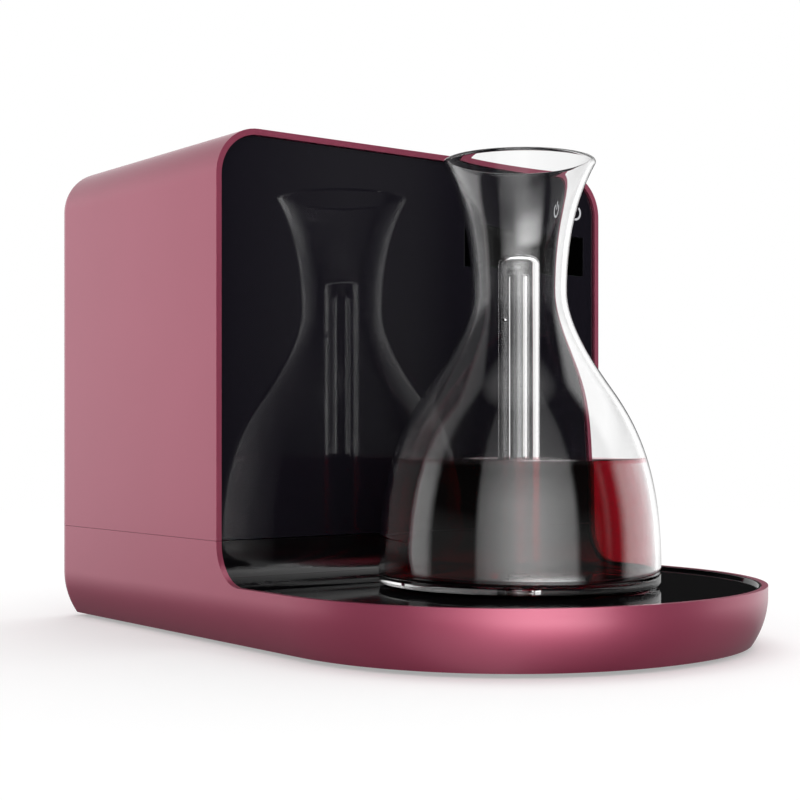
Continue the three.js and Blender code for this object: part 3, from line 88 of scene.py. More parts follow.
def node_adder(tree):
    """The function that adds a node to this tree, with its settings, or just its operation, and its inputs.

    An input is given by its place, by its name, or by its number, as in i6. It is a value, an output, a node,
    which stands for its first output, or a list of nodes for a socket that takes several.
    """
    def add(kind, settings=None, *values, **inputs):
        node = tree.nodes.new(kind)
        if isinstance(settings, str):
            settings = {"operation": settings}
        for key, value in (settings or {}).items():
            setattr(node, key, value)
        for key, value in [*((f"i{i}", v) for i, v in enumerate(values)), *inputs.items()]:
            socket = node.inputs[int(key[1:]) if key[1:].isdigit() else key.replace("_", " ")]
            sources = [first_output(v) for v in (value if isinstance(value, list) else [value])]
            if isinstance(sources[0], bpy.types.NodeSocket):
                for source in sources:
                    tree.links.new(source, socket)
            else:
                socket.default_value = value
        return node
    return add


def new_material(name):
    """A material with an empty tree, and the function that adds nodes to it."""
    material = bpy.data.materials.new(name)
    material.use_nodes = True
    material.node_tree.nodes.clear()
    return material, node_adder(material.node_tree)


# %% [markdown]
# ## The camera
# The photograph's straight edges were solved for its lens. The camera stands level with the middle of the
# housing, to the left of the front. A small upward shift of the picture keeps the uprights parallel,
# where a tilted camera would make them lean.

# %% Camera
CAMERA_PLACE = Vector((-0.5078, -0.6347, 0.102))
CAMERA_TURN = math.radians(-37.45)
CAMERA_LENS = 69.44
CAMERA_SHIFT = 0.0446

camera = bpy.data.objects.new("camera", bpy.data.cameras.new("camera"))
scene.collection.objects.link(camera)
camera.location = CAMERA_PLACE
camera.rotation_euler = (math.pi / 2, 0, CAMERA_TURN)
camera.data.lens = CAMERA_LENS
camera.data.sensor_width = 36
camera.data.shift_y = CAMERA_SHIFT
camera.data.clip_start = 0.01
scene.camera = camera
scene.view_settings.view_transform = "Standard"

# %% [markdown]
# ## Driving dimensions
# The shells' outside and the carafe's place come from the frame's boxes. The few values that a box can't
# tell, such as a wall or a corner, repeat the ones that the CAD model is drawn with.

# %% Dimensions
shell_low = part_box("base_shell")[0]
cover_low, cover_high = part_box("upper_cover")
HALF = cover_high.x
FACE_Y = cover_low.y
REAR_Y = cover_high.y
TOP_Z = cover_high.z
SHELL_Z = shell_low.z
NOSE_Y = shell_low.y + HALF
SEAM_Z = 51.4 * MM
SEAM_GAP = 0.15 * MM
WALL = 3 * MM
CORNER = 24 * MM
REAR_FILLET = 11 * MM
NOSE_FULLNESS = 2.1
RIM_Z = 30.2 * MM
COVE = 20 * MM
RECESS = 1.6 * MM
BOWL_HEIGHT = 24 * MM
BOWL_INSET = 7.2 * MM
LINER = 2.4 * MM
FIT = 0.3 * MM
HAIR = 0.05 * MM
FLANGE = 2.5 * MM
OVERRUN = 5 * MM
JOIN = 1 * MM
EDGE_BREAK = 0.3 * MM
CORNER_STEPS, ARCH_STEPS, NOSE_STEPS, WALL_STEPS = 8, 16, 96, 24
PANEL_Y = FACE_Y + RECESS
TRAY_Z = RIM_Z - RECESS
carafe_low, carafe_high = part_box("carafe")
CARAFE_Y, CARAFE_Z = (carafe_low.y + carafe_high.y) / 2, carafe_low.z
print("housing is", round(2 * HALF / MM), "mm wide")


# %% [markdown]
# ## Outlines
# An outline is a list of flat points. It could be a curve object, but plain points can be moved inwards,
# mirrored and joined with a line of arithmetic. Round stretches are arcs with many steps, because here
# the surface has to look smooth. Every outline of one kind has the same number of points, so that a loft
# can join them.

# %% Outline helpers
def middle(name):
    """The middle of a node's box."""
    return sum(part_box(name), Vector()) / 2


def arc(x, y, radius, start, end, steps):
    """Points of an arc, with angles in quarter turns."""
    angles = [math.pi / 2 * (start + (end - start) * i / steps) for i in range(steps + 1)]
    return [(x + radius * math.cos(a), y + radius * math.sin(a)) for a in angles]


def circle(x, y, radius, steps=48):
    return arc(x, y, radius, 0, 4, steps)[:-1]


def rectangle(left, right, low, high):
    return [(left, low), (right, low), (right, high), (left, high)]


def rounded_rectangle(width, height, radius, x=0.0, y=0.0, steps=CORNER_STEPS):
    across, up = width / 2 - radius, height / 2 - radius
    corners = [(1, 1), (-1, 1), (-1, -1), (1, -1)]
    return [p for i, (a, b) in enumerate(corners)
            for p in arc(x + a * across, y + b * up, radius, i, i + 1, steps)]


def box_outline(name, margin, radius, steps=CORNER_STEPS):
    """A node's box from the front, grown by a margin, with rounded corners."""
    low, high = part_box(name)
    return rounded_rectangle(high.x - low.x + 2 * margin, high.z - low.z + 2 * margin, radius,
                             (low.x + high.x) / 2, (low.z + high.z) / 2, steps)


def nose(half):
    """The front half of a superellipse, a little fuller than a half circle."""
    power = 2 / NOSE_FULLNESS
    return [(half * math.copysign(abs(x) ** power, x), NOSE_Y - half * abs(y) ** power)
            for x, y in arc(0, 0, 1, 2, 4, NOSE_STEPS)]


def plan_outline(inset):
    """Housing and tray from above: square rear corners, full round front."""
    half = HALF - inset
    corner = max(REAR_FILLET - inset, FIT)
    rear = REAR_Y - inset - corner
    return (arc(half - corner, rear, corner, 0, 1, CORNER_STEPS)
            + arc(corner - half, rear, corner, 1, 2, CORNER_STEPS) + nose(half))


def arch_outline(inset, bottom):
    """The upper housing from the front: square below, rounded above."""
    half = HALF - inset
    corner = max(CORNER - inset, FIT)
    upper = TOP_Z - inset - corner
    return ([(-half, bottom), (half, bottom)]
            + arc(half - corner, upper, corner, 0, 1, ARCH_STEPS)
            + arc(corner - half, upper, corner, 1, 2, ARCH_STEPS))


# %% [markdown]
# ## Solids
# Three kinds of solid cover the housing: a prism, a loft through rings of points, and a turned form. They
# are joined and cut with the exact Boolean modifier, which is then applied, so each piece ends as a plain
# mesh. A Bevel modifier breaks the edges, because no made edge is perfectly sharp, and the thin highlight
# along it is what makes it look real.

# %% Solid helpers
def mesh_object(name, points, faces):
    mesh = bpy.data.meshes.new(name)
    mesh.from_pydata([tuple(p) for p in points], [], faces)
    shape = bmesh.new()
    shape.from_mesh(mesh)
    bmesh.ops.remove_doubles(shape, verts=shape.verts, dist=1e-7)
    bmesh.ops.recalc_face_normals(shape, faces=shape.faces)
    shape.to_mesh(mesh)
    shape.free()
    piece = bpy.data.objects.new(name, mesh)
    scene.collection.objects.link(piece)
    return piece


def loft(name, rings):
    """A closed solid through rings that have equal numbers of points."""
    count = len(rings[0])
    faces = [
        (r * count + i, r * count + (i + 1) % count, (r + 1) * count + (i + 1) % count, (r + 1) * count + i)
        for r in range(len(rings) - 1) for i in range(count)
    ]
    last = (len(rings) - 1) * count
    faces += [tuple(reversed(range(count))), tuple(range(last, last + count))]
    return mesh_object(name, [p for ring in rings for p in ring], faces)


def prism(name, outline, axis, low, high):
    """A prism along axis. The outline is drawn in the other two axes, in their order."""
    place = {
        "x": lambda p, depth: (depth, p[0], p[1]),
        "y": lambda p, depth: (p[0], depth, p[1]),
        "z": lambda p, depth: (p[0], p[1], depth),
    }[axis]
    return loft(name, [[place(p, low) for p in outline], [place(p, high) for p in outline]])


def rod(x, y, radius, axis, low, high, steps=48):
    """A round prism. Its middle is given in the two axes across it, in their order."""
    return prism("rod", circle(x, y, radius, steps), axis, low, high)


def turned(name, profile, centre=(0, 0, 0), sides=96, axis="z"):
    """A solid of revolution: the profile of (radius, height) points closes on itself or on the axis."""
    points, rings = [], []
    for radius, height in profile:
        on_axis = radius < 1e-7
        rings.append((len(points), 1 if on_axis else sides))
        for i in range(1 if on_axis else sides):
            angle = 2 * math.pi * i / sides
            across, along = radius * math.cos(angle), radius * math.sin(angle)
            step = (across, along, height) if axis == "z" else (across, height, along)
            points.append([c + d for c, d in zip(centre, step)])
    faces = []
    closed = rings[0][1] > 1
    for r in range(len(rings) if closed else len(rings) - 1):
        (a, na), (b, nb) = rings[r], rings[(r + 1) % len(rings)]
        for i in range(sides):
            j = (i + 1) % sides
            corners = list(dict.fromkeys([a + i % na, a + j % na, b + j % nb, b + i % nb]))
            if len(corners) > 2:
                faces.append(corners)
    return mesh_object(name, points, faces)


def apply_modifiers(piece):
    """Turns the evaluated piece into a plain mesh."""
    graph = bpy.context.evaluated_depsgraph_get()
    mesh = bpy.data.meshes.new_from_object(piece.evaluated_get(graph))
    piece.modifiers.clear()
    piece.data = mesh
    return piece


def combine(piece, operation, tools):
    """Joins, cuts or intersects the piece with each tool in turn, and removes the tools."""
    for tool in tools:
        step = piece.modifiers.new("boolean", "BOOLEAN")
        step.operation = operation
        step.object = tool
        step.solver = "EXACT"
        apply_modifiers(piece)
        bpy.data.objects.remove(tool)
    return piece


def join(piece, *tools):
    return combine(piece, "UNION", tools)


def cut(piece, *tools):
    return combine(piece, "DIFFERENCE", tools)


def keep_inside(piece, *tools):
    return combine(piece, "INTERSECT", tools)


def ring_prism(name, outer, inner, axis, low, high):
    """A prism with the outer outline, hollow along the inner one."""
    inside = prism("inside", inner, axis, low - OVERRUN, high + OVERRUN)
    return cut(prism(name, outer, axis, low, high), inside)


def smooth(piece, angle=40):
    """Shades the piece smooth, apart from edges sharper than the angle."""
    piece.data.shade_smooth()
    piece.data.set_sharp_from_angle(angle=math.radians(angle))
    step = piece.modifiers.new("normals", "WEIGHTED_NORMAL")
    step.keep_sharp = True
    return apply_modifiers(piece)


def broken_edges(piece, width=EDGE_BREAK, segments=3, angle=34):
    """Rounds the sharp edges a little, as on every made thing, and shades the rest smooth."""
    bevel = piece.modifiers.new("bevel", "BEVEL")
    bevel.width = width
    bevel.segments = segments
    bevel.limit_method = "ANGLE"
    bevel.angle_limit = math.radians(angle)
    bevel.use_clamp_overlap = True
    bevel.miter_outer = "MITER_ARC"
    return smooth(apply_modifiers(piece))


def dress(piece, body, slot, material, *replaced):
    """Gives the piece its material, its body, if it has just one, and the nodes it stands for. The slot is
    not used.
    """
    piece.data.materials.clear()
    piece.data.materials.append(material)
    if body:
        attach(piece, body)
    if replaced:
        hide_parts(*replaced)
    print(piece.name, "has", len(piece.data.polygons), "faces")
    return piece


# %% [markdown]
# ## Grain and bump
# Most finishes here are one base with a fine noise: the blast, the mould, the mill or the blowing leaves
# it. A Displace modifier could raise such a grain for real, but it would take millions of faces. So one
# function makes all these finishes as materials. The noise has the real grain's size, raises the surface
# by a few hundredths of a millimetre at most, and spreads the roughness a little, so that highlights
# break up as they do on the real thing.

# %% Finish helpers
RGB_MIX = {"data_type": "RGBA"}
CLOUD = 60 * MM


def mottled(add, place, size, detail, first, second):
    """A colour that drifts between two, in clouds of the given size."""
    cloud = add("ShaderNodeTexNoise", Vector=place, Scale=1 / size, Detail=detail)
    return add("ShaderNodeMix", RGB_MIX, cloud, i6=linear(first), i7=linear(second)).outputs[2]


def finish(name, colours, rough, grain, detail, strength, relief, spread=0.0, stretch=None, **shader):
    """A material whose noise gives its bump and the spread of its roughness. Two colours are mottled."""
    material, add = new_material(name)
    place = add("ShaderNodeTexCoord").outputs["Object"]
    if len(colours) > 1:
        shader["Base_Color"] = mottled(add, place, CLOUD, 3.0, *colours)
    else:
        shader["Base_Color"] = linear(colours[0])
    if stretch:
        place = add("ShaderNodeMapping", Vector=place, Scale=stretch)
    texture = add("ShaderNodeTexNoise", Vector=place, Scale=1 / grain, Detail=detail)
    if spread:
        rough = add("ShaderNodeMapRange", Value=texture, To_Min=rough - spread, To_Max=rough + spread)
    bump = add("ShaderNodeBump", Strength=strength, Distance=relief, Height=texture)
    add("ShaderNodeOutputMaterial",
        Surface=add("ShaderNodeBsdfPrincipled", Roughness=rough, Normal=bump, **shader))
    return material


# %% [markdown]
# ## Satin anodised aluminium
# The shells are aluminium, bead-blasted, dyed burgundy and sealed. The dye colours the metal's
# reflection, the dyed oxide scatters a little light itself, so it isn't all metal, and the clear seal on
# top adds a little white sheen, which is why the broad sides look pinker than the rims. The blasted grain
# is about a quarter of a millimetre; it is drawn at twice that so that it shows at all.

# %% Anodised aluminium
metal = finish("anodised_aluminium", ("B04B67", "B6506D"), 0.44, 0.5 * MM, 2.0, 0.06, 0.05 * MM, 0.04,
               Metallic=0.66, Coat_Weight=0.9, Coat_Roughness=0.25)


# %% [markdown]
# ## Black gloss
# The panel is back-painted glass and the tray is polished moulded plastic. Both are nearly black mirrors:
# what one sees is the reflection. The plastic has the faint unevenness of a moulding, a few millimetres
# across. The display's glass is coated against reflections, so its IOR is low and it looks blacker than
# the panel round it.

# %% Black gloss
def black_gloss(name, colour, roughness, wave, unevenness, ior=1.5):
    return finish(name, [colour], roughness, wave, 2.0, unevenness, 0.1 * MM, IOR=ior)


panel_black = black_gloss("back_painted_glass", "17151C", 0.03, 40 * MM, 0.0)
tray_black = black_gloss("polished_black_plastic", "0A090B", 0.06, 6 * MM, 0.02)
window_black = black_gloss("anti_reflective_display_glass", "010101", 0.05, 40 * MM, 0.0, 1.2)

# %% [markdown]
# ## Glass and wine
# The carafe is soda-lime glass, blown, with very slight waves. The wine is a clear liquid whose dye
# swallows green and blue within a few millimetres, so it looks black against the dark panel and red
# against the light. Its skin lies in the glass with a hair of air between. So its IOR is close to 1,
# which keeps rays straight there, and a clear coat gives the gloss that a liquid has.

# %% Glass and wine
WINE_DYE = (0.71, 0.0, 0.17, 1.0)
DYE_DENSITY = 60.0
glass = finish("blown_glass", ["FFFFFF"], 0.0, 30 * MM, 1.0, 0.05, 0.2 * MM, IOR=1.5, Transmission_Weight=1.0)


def red_wine():
    material, add = new_material("red_wine")
    place = add("ShaderNodeTexCoord").outputs["Object"]
    shader = add("ShaderNodeBsdfPrincipled", Base_Color=mottled(add, place, 40 * MM, 1.0, "FFE9EC", "FFE2E6"),
                 Roughness=0.0, IOR=1.004, Transmission_Weight=1.0, Coat_Weight=1.0, Coat_Roughness=0.0)
    dye = add("ShaderNodeVolumeAbsorption", Color=WINE_DYE, Density=DYE_DENSITY)
    add("ShaderNodeOutputMaterial", Surface=shader, Volume=dye)
    return material


wine = red_wine()

# %% [markdown]
# ## Stock finishes
# Behind the panel are everyday materials. Moulded ABS and nylon carry the grain of a spark-eroded mould.
# Sheet and bar stock show the lines of the mill or the lathe. Silicone tube is milky, winding wire lies
# turn by turn, and a printed board has a green mask over a grid of tracks. Each pattern has its real
# pitch.

# %% Moulded, milled, wound and printed
def moulded(name, colour, roughness, grain=0.4 * MM, depth=0.15, see_through=0.0):
    return finish(name, [colour], roughness, grain, 3.0, depth, 0.1 * MM, 0.07,
                  Transmission_Weight=see_through)


def milled(name, colour, roughness):
    return finish(name, [colour], roughness, 0.3 * MM, 2.0, 0.1, 0.05 * MM, 0.08, (1, 1, 0.04), Metallic=1.0)


def banded(name, dark, light, pitch, metallic, roughness):
    """Stripes across the height, such as turns of wire or stacked sheets.

    At a scale of 1, a wave texture has a band every pi / 10.
    """
    material, add = new_material(name)
    bands = add("ShaderNodeTexWave", {"bands_direction": "Z"}, Scale=math.pi / (10 * pitch), Distortion=0.0,
                Vector=add("ShaderNodeTexCoord").outputs["Object"]).outputs["Fac"]
    tone = add("ShaderNodeMix", RGB_MIX, bands, i6=linear(dark), i7=linear(light))
    bump = add("ShaderNodeBump", Strength=0.4, Distance=pitch / 4, Height=bands)
    add("ShaderNodeOutputMaterial", Surface=add("ShaderNodeBsdfPrincipled", Base_Color=tone.outputs[2],
                                                Metallic=metallic, Roughness=roughness, Normal=bump))
    return material


def solder_mask():
    track = 2.5 * MM
    material, add = new_material("solder_mask_on_glass_fibre")
    grid = add("ShaderNodeTexBrick", Vector=add("ShaderNodeTexCoord").outputs["Object"], Scale=1 / track,
               Color1=linear("1D5A33"), Color2=linear("236B3C"), Mortar=linear("14401F"),
               Mortar_Size=0.06, Brick_Width=1.6, Row_Height=0.5)
    add("ShaderNodeOutputMaterial",
        Surface=add("ShaderNodeBsdfPrincipled", Base_Color=grid, Roughness=0.35, Coat_Weight=0.4))
    return material


abs_black = moulded("spark_textured_abs", "17171A", 0.5)
rubber = moulded("moulded_nitrile_rubber", "151515", 0.75, 0.6 * MM)
steel = milled("zinc_plated_steel", "B9BABD", 0.3)
brass = milled("turned_brass", "C9A24E", 0.25)
FINISH_OF_SLOT = {
    "anodised_shell": metal, "gloss_black": tray_black, "panel_glass": panel_black,
    "display_glass": window_black, "clear_glass": glass, "black_plastic": abs_black, "rubber": rubber,
    "steel": steel, "brass": brass,
    "white_plastic": moulded("moulded_white_nylon", "DEDCD6", 0.5),
    "silicone": moulded("extruded_silicone_tube", "D9DAD4", 0.35, 2 * MM, 0.05, 0.4),
    "lead_jacket": moulded("extruded_pvc_jacket", "1E1E20", 0.45, 0.8 * MM, 0.05),
    "aluminium": milled("machined_aluminium", "C4C5C8", 0.35),
    "copper": banded("enamelled_copper_winding", "6E2F17", "B4643A", 0.5 * MM, 0.8, 0.35),
    "circuit_board": solder_mask(),
}

# %% Every CAD node gets the finish of its slot
for part in frame["record"]["subparts"]:
    for place in nodes[part["node"]].material_slots:
        place.material = FINISH_OF_SLOT[part["material_slot"]]
for name in ("magnet_core", "transformer"):
    nodes[name].material_slots[0].material = banded("laminated_core_steel", "4C4E52", "8A8C90", MM, 1.0, 0.45)
print("finishes:", len(bpy.data.materials))


# %% [markdown]
# ## Base shell
# The lower housing and the tray rim are one pressing. Its wall leans in below like a bowl, and above the
# tray it is cut back along a quarter circle, the cove, up to the front face. A subdivided box would round
# it as well, but not to a measure. So a loft gives the wall, a second loft hollows it, and one long prism
# cuts tray and cove.

# %% Base shell
def bowl_solid(name, wall, reach):
    """The shell's outside moved in by wall. A reach runs it past its ends, as a cutter needs."""
    radius = (BOWL_HEIGHT ** 2 + BOWL_INSET ** 2) / (2 * BOWL_INSET)
    lean = math.asin(BOWL_HEIGHT / radius)
    levels = []
    for i in range(WALL_STEPS + 1):
        angle = lean * (1 - i / WALL_STEPS)
        levels.append((radius * (1 - math.cos(angle)), SHELL_Z + BOWL_HEIGHT - radius * math.sin(angle)))
    if reach:
        levels.insert(0, (levels[0][0], SHELL_Z - reach))
    levels.append((0, SEAM_Z - SEAM_GAP / 2 + reach))
    return loft(name, [[(x, y, z) for x, y in plan_outline(inset + wall)] for inset, z in levels])


def cove_line(extra):
    """The cove from the side: a quarter circle from the tray up to the face, moved into the body by extra."""
    return arc(FACE_Y - COVE, RIM_Z + COVE, COVE + extra, -1, 0, 32)


def part_of_depth(start, end):
    """A block over the whole width, between two depths, up to above the seam."""
    return prism("part", rectangle(-HALF, HALF, start, end), "z", 0, 2 * SEAM_Z)


def tray_ledge():
    """The liner rests on it."""
    top, width, thickness = TRAY_Z - LINER - FIT, 4 * MM, 2 * MM
    ledge = ring_prism("ledge", plan_outline(WALL - JOIN), plan_outline(WALL + width), "z",
                       top - thickness, top)
    return cut(ledge, part_of_depth(FACE_Y - COVE, 2 * REAR_Y))


def seam_tongue():
    """It stands up inside the seam and centres the upper cover."""
    below, shoulder, above, lip_wall = 6 * MM, 1.4 * MM, 4 * MM, 1.7 * MM
    inner, start = WALL + FIT + lip_wall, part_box("front_panel")[1].y + 2 * FIT + FLANGE
    low, step, high = SEAM_Z - below, SEAM_Z - shoulder, SEAM_Z + above
    tongue = ring_prism("tongue", plan_outline(WALL - JOIN), plan_outline(inner), "z", low, step)
    lip = ring_prism("lip", plan_outline(WALL + FIT), plan_outline(inner), "z", step - JOIN, high)
    return cut(join(tongue, lip), part_of_depth(-2 * REAR_Y, start))


def base_shell():
    shell = cut(bowl_solid("base_shell_skin", 0, 0), bowl_solid("hollow", WALL, OVERRUN))
    front, upper = NOSE_Y - HALF - OVERRUN, SEAM_Z + OVERRUN
    outline = [(front, RIM_Z)] + cove_line(0) + [(FACE_Y, upper), (front, upper)]
    cut(shell, prism("cove_cut", outline, "x", -HALF - OVERRUN, HALF + OVERRUN))
    return broken_edges(join(shell, tray_ledge(), seam_tongue()))


dress(base_shell(), "housing", "anodised_shell", metal, "base_shell")

# %% [markdown]
# ## Upper cover
# One arched shell with a large rounding along its rear edge, and a window behind for the rear cover. A
# wide bevel could round that edge. Here the rounding is in the rings of a loft along the depth, because
# the hollow, a second loft, then follows it at an even wall.

# %% Upper cover
REAR_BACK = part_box("rear_cover")[1].y
REAR_SHEET = 2 * MM
REAR_CORNER = 8 * MM
LIP_OUTSIDE, LIP_INSIDE, LIP_CORNER, LIP_DEPTH = 3 * MM, 6 * MM, 14 * MM, 2.2 * MM
FLANGE_WIDTH = 6 * MM


def arch_solid(name, wall, reach):
    bottom = SEAM_Z + SEAM_GAP / 2 - reach
    fillet = REAR_FILLET - wall
    levels = [(wall, FACE_Y - reach)]
    for i in range(WALL_STEPS // 2 + 1):
        angle = math.pi * i / WALL_STEPS
        levels.append((wall + fillet * (1 - math.cos(angle)),
                       REAR_Y - REAR_FILLET + fillet * math.sin(angle)))
    return loft(name, [[(x, y, z) for x, z in arch_outline(inset, bottom)] for inset, y in levels])


def panel_flange():
    """The panel lies against it."""
    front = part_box("front_panel")[1].y + FIT
    bottom = SEAM_Z + SEAM_GAP / 2
    inside = arch_outline(WALL + FLANGE_WIDTH, bottom - OVERRUN)
    return ring_prism("flange", arch_outline(WALL - JOIN, bottom), inside, "y", front, front + FLANGE)


def rear_lip():
    """The rear cover's screws go into it."""
    front = REAR_BACK - REAR_SHEET - FIT
    return ring_prism("rear_lip", box_outline("rear_cover", LIP_OUTSIDE, FIT),
                      box_outline("rear_cover", -LIP_INSIDE, LIP_CORNER), "y", front - LIP_DEPTH, front)


def upper_cover():
    window = box_outline("rear_cover", FIT, REAR_CORNER + FIT)
    cover = cut(arch_solid("upper_cover_skin", 0, 0), arch_solid("hollow", WALL, OVERRUN),
                prism("opening", window, "y", REAR_BACK - 2 * WALL, REAR_Y + OVERRUN))
    return broken_edges(join(cover, panel_flange(), rear_lip()))


dress(upper_cover(), "housing", "anodised_shell", metal, "upper_cover")

# %% [markdown]
# ## Tray liner, front panel and display
# The liner is a sheet with the shell's cove, trimmed to the rim's outline, with a low bead along its
# edge. The carafe's round seat is let into the cove behind. The panel fills the arch above, with the
# display window flush in it. All three are prisms that are drawn with the shell's own outlines, so that
# the gaps between them stay even.

# %% Liner, panel and display
GASKET_WIDTH = 8 * MM
NOZZLE_RADIUS = 5.2 * MM
SEAT_GAP = 1.2 * MM


def drip_edge():
    """A low bead along the tray's edge. It keeps drops in, and it runs out into the cove."""
    outer = WALL + FIT + HAIR
    bead = ring_prism("bead", plan_outline(outer), plan_outline(outer + MM), "z", TRAY_Z - JOIN, RIM_Z - FIT)
    return cut(broken_edges(bead, 0.25 * MM, 2), part_of_depth(FACE_Y - COVE / 2, 2 * REAR_Y))


def tray_liner():
    inset, front = WALL + FIT, NOSE_Y - HALF
    upper, bottom, back, above = SEAM_Z - SEAM_GAP / 2, TRAY_Z - LINER, PANEL_Y + LINER, RIM_Z + COVE
    outline = [(front, bottom)] + cove_line(RECESS + LINER) + [(back, upper), (PANEL_Y, upper)]
    outline += cove_line(RECESS)[::-1] + [(front, TRAY_Z)]
    liner = prism("tray_liner_skin", outline, "x", inset - HALF, HALF - inset)
    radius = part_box("carafe")[1].x + SEAT_GAP
    pad = [(FACE_Y - COVE, bottom), (back, bottom), (back, above)] + cove_line(RECESS + LINER / 2)[::-1]
    floor = keep_inside(prism("floor", pad, "x", -HALF / 2, HALF / 2),
                        rod(0, CARAFE_Y, radius + LINER, "z", 0, above, 128))
    keep_inside(join(liner, floor), prism("trim", plan_outline(inset), "z", 0, 2 * SEAM_Z))
    low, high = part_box("seat_gasket")
    groove = rectangle(high.x - GASKET_WIDTH - FIT, high.x + FIT, low.z - FIT, RIM_Z)
    cut(liner, rod(0, CARAFE_Y, radius, "z", TRAY_Z, above, 128),
        turned("groove", groove, (0, CARAFE_Y, 0), 128),
        rod(0, CARAFE_Y, NOZZLE_RADIUS + FIT, "z", bottom - OVERRUN, RIM_Z))
    return smooth(join(broken_edges(liner, 0.4 * MM, 2), drip_edge()))


def front_panel():
    low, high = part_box("front_panel")
    panel = prism("front_panel_skin", arch_outline(WALL + FIT, low.z), "y", low.y, high.y)
    opening = box_outline("display_window", FIT, FIT, 2)
    cut(panel, prism("opening", opening, "y", low.y - OVERRUN, high.y + OVERRUN))
    return broken_edges(panel, 0.25 * MM, 2)


def display_window():
    low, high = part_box("display_window")
    outline = box_outline("display_window", 0, FIT, 2)
    return broken_edges(prism("display_window_skin", outline, "y", low.y, high.y), 0.15 * MM, 2)


dress(tray_liner(), "housing", "gloss_black", tray_black, "tray_liner")
dress(front_panel(), "housing", "panel_glass", panel_black, "front_panel")
dress(display_window(), "housing", "display_glass", window_black, "display_window")

# %% [markdown]
# ## Touch mark
# The key is a touch field, so the glass carries only a printed mark: the usual sign for on and off. It
# could be painted with a texture, but a shape stays sharp from any distance. Screen ink is a few
# hundredths of a millimetre thick, and the mark stands that much proud of the panel.

# %% Touch mark
INK = 0.05 * MM
STROKE = 1.2 * MM
MARK_RADIUS = 4.4 * MM
MARK_X, MARK_Z = 111 * MM, 230 * MM


def power_mark():
    bow = (arc(MARK_X, MARK_Z, MARK_RADIUS, 1.45, 4.55, 48)
           + arc(MARK_X, MARK_Z, MARK_RADIUS - STROKE, 4.55, 1.45, 48))
    bar = rounded_rectangle(STROKE, MARK_RADIUS * 1.1, STROKE / 2 - HAIR, MARK_X, MARK_Z + MARK_RADIUS * 0.6)
    mark, line = (prism(name, outline, "y", PANEL_Y - INK, PANEL_Y + INK)
                  for name, outline in (("power_mark", bow), ("bar", bar)))
    return smooth(join(mark, line))


ink = moulded("screen_printed_ink", "D8D8DC", 0.5, 0.1 * MM, 0.02)
dress(power_mark(), "housing", "white_plastic", ink)

# %% [markdown]
# ## Carafe
# A blown carafe: a low belly, a long shoulder, a slim neck and a flared lip. A curve with a Screw
# modifier would turn it as well. Here three Bezier curves are worked out point by point, because the
# inner line can then run a wall's thickness inside the outer one, and the wine can follow it. The floor
# is thin round a thicker boss, which holds the tubes. The profile is turned about the axis.

# %% Carafe profile
GLASS_WALL = 2.6 * MM
GLASS_FLOOR = 3.6 * MM
BOSS_TOP = 6 * MM
BOSS_RADIUS = 14 * MM
BOSS_SLOPE = 2 * MM
PUNT_RADIUS = 7.2 * MM
PUNT_DEPTH = 4 * MM
BORE = 3 * MM
HEEL = 3 * MM
BELLY = Vector((69, 9.5)) * MM
SHOULDER = Vector((43, 99)) * MM
NECK = Vector((23.45, 143.6)) * MM
LIP = Vector((37.3, 206.3)) * MM
SHOULDER_WAY = Vector((-0.7, 1))


def bezier(points, steps):
    """Pairs of a point and a direction along a cubic Bezier curve."""
    result = []
    for i in range(steps + 1):
        t = i / steps
        s = 1 - t
        place = (s ** 3 * points[0] + 3 * s * s * t * points[1] + 3 * s * t * t * points[2]
                 + t ** 3 * points[3])
        way = (s * s * (points[1] - points[0]) + 2 * s * t * (points[2] - points[1])
               + t * t * (points[3] - points[2]))
        result.append((place, way.normalized()))
    return result


def carafe_line():
    """The outer line from belly to lip, as radius and height: three curves that run into each other."""
    rise, climb, flare = SHOULDER.y - BELLY.y, NECK.y - SHOULDER.y, LIP.y - NECK.y
    bend = NECK + Vector((0, 0.6 * flare))
    belly = bezier([BELLY, BELLY + Vector((0, 0.6 * rise)),
                    SHOULDER - 0.16 * rise * SHOULDER_WAY, SHOULDER], 40)
    shoulder = bezier([SHOULDER, SHOULDER + 0.28 * climb * SHOULDER_WAY,
                       NECK - Vector((0, 0.32 * climb)), NECK], 24)
    lip = bezier([NECK, NECK + (bend - NECK) * 2 / 3, LIP + (bend - LIP) * 2 / 3, LIP], 30)
    return belly + shoulder[1:] + lip[1:]


def wall_points(depth):
    """The outer line moved in by depth."""
    return [(p.x - depth * way.y, p.y + depth * way.x) for p, way in carafe_line()]


def carafe():
    way = carafe_line()[-1][1]
    turn = math.atan2(-way.x, way.y) / (math.pi / 2)
    seat = [(BORE, PUNT_DEPTH), (PUNT_RADIUS, PUNT_DEPTH), (PUNT_RADIUS, FIT), (PUNT_RADIUS + FIT, 0)]
    outside = arc(BELLY.x - HEEL, HEEL, HEEL, -1, 0, 8) + wall_points(0)
    lip = arc(*wall_points(GLASS_WALL / 2)[-1], GLASS_WALL / 2, turn, turn + 2, 10)[1:-1]
    inside = wall_points(GLASS_WALL)[::-1]
    inside += arc(BELLY.x - GLASS_WALL - HEEL, GLASS_FLOOR + HEEL, HEEL, 0, -1, 8)
    boss = [(BOSS_RADIUS + BOSS_SLOPE, GLASS_FLOOR), (BOSS_RADIUS, BOSS_TOP), (BORE, BOSS_TOP)]
    profile = seat + outside + lip + inside + boss
    return smooth(turned("carafe_glass", profile, (0, CARAFE_Y, CARAFE_Z), 160), 30)


dress(carafe(), "carafe", "clear_glass", glass, "carafe")

# %% [markdown]
# ## Aeration tube and riser
# A closed tube stands over a narrow riser. The gas comes up the riser, turns at the top and leaves
# through notches at the foot of the outer tube. Both are turned with a wall, not as single sheets,
# because light bends at both faces of real glass.

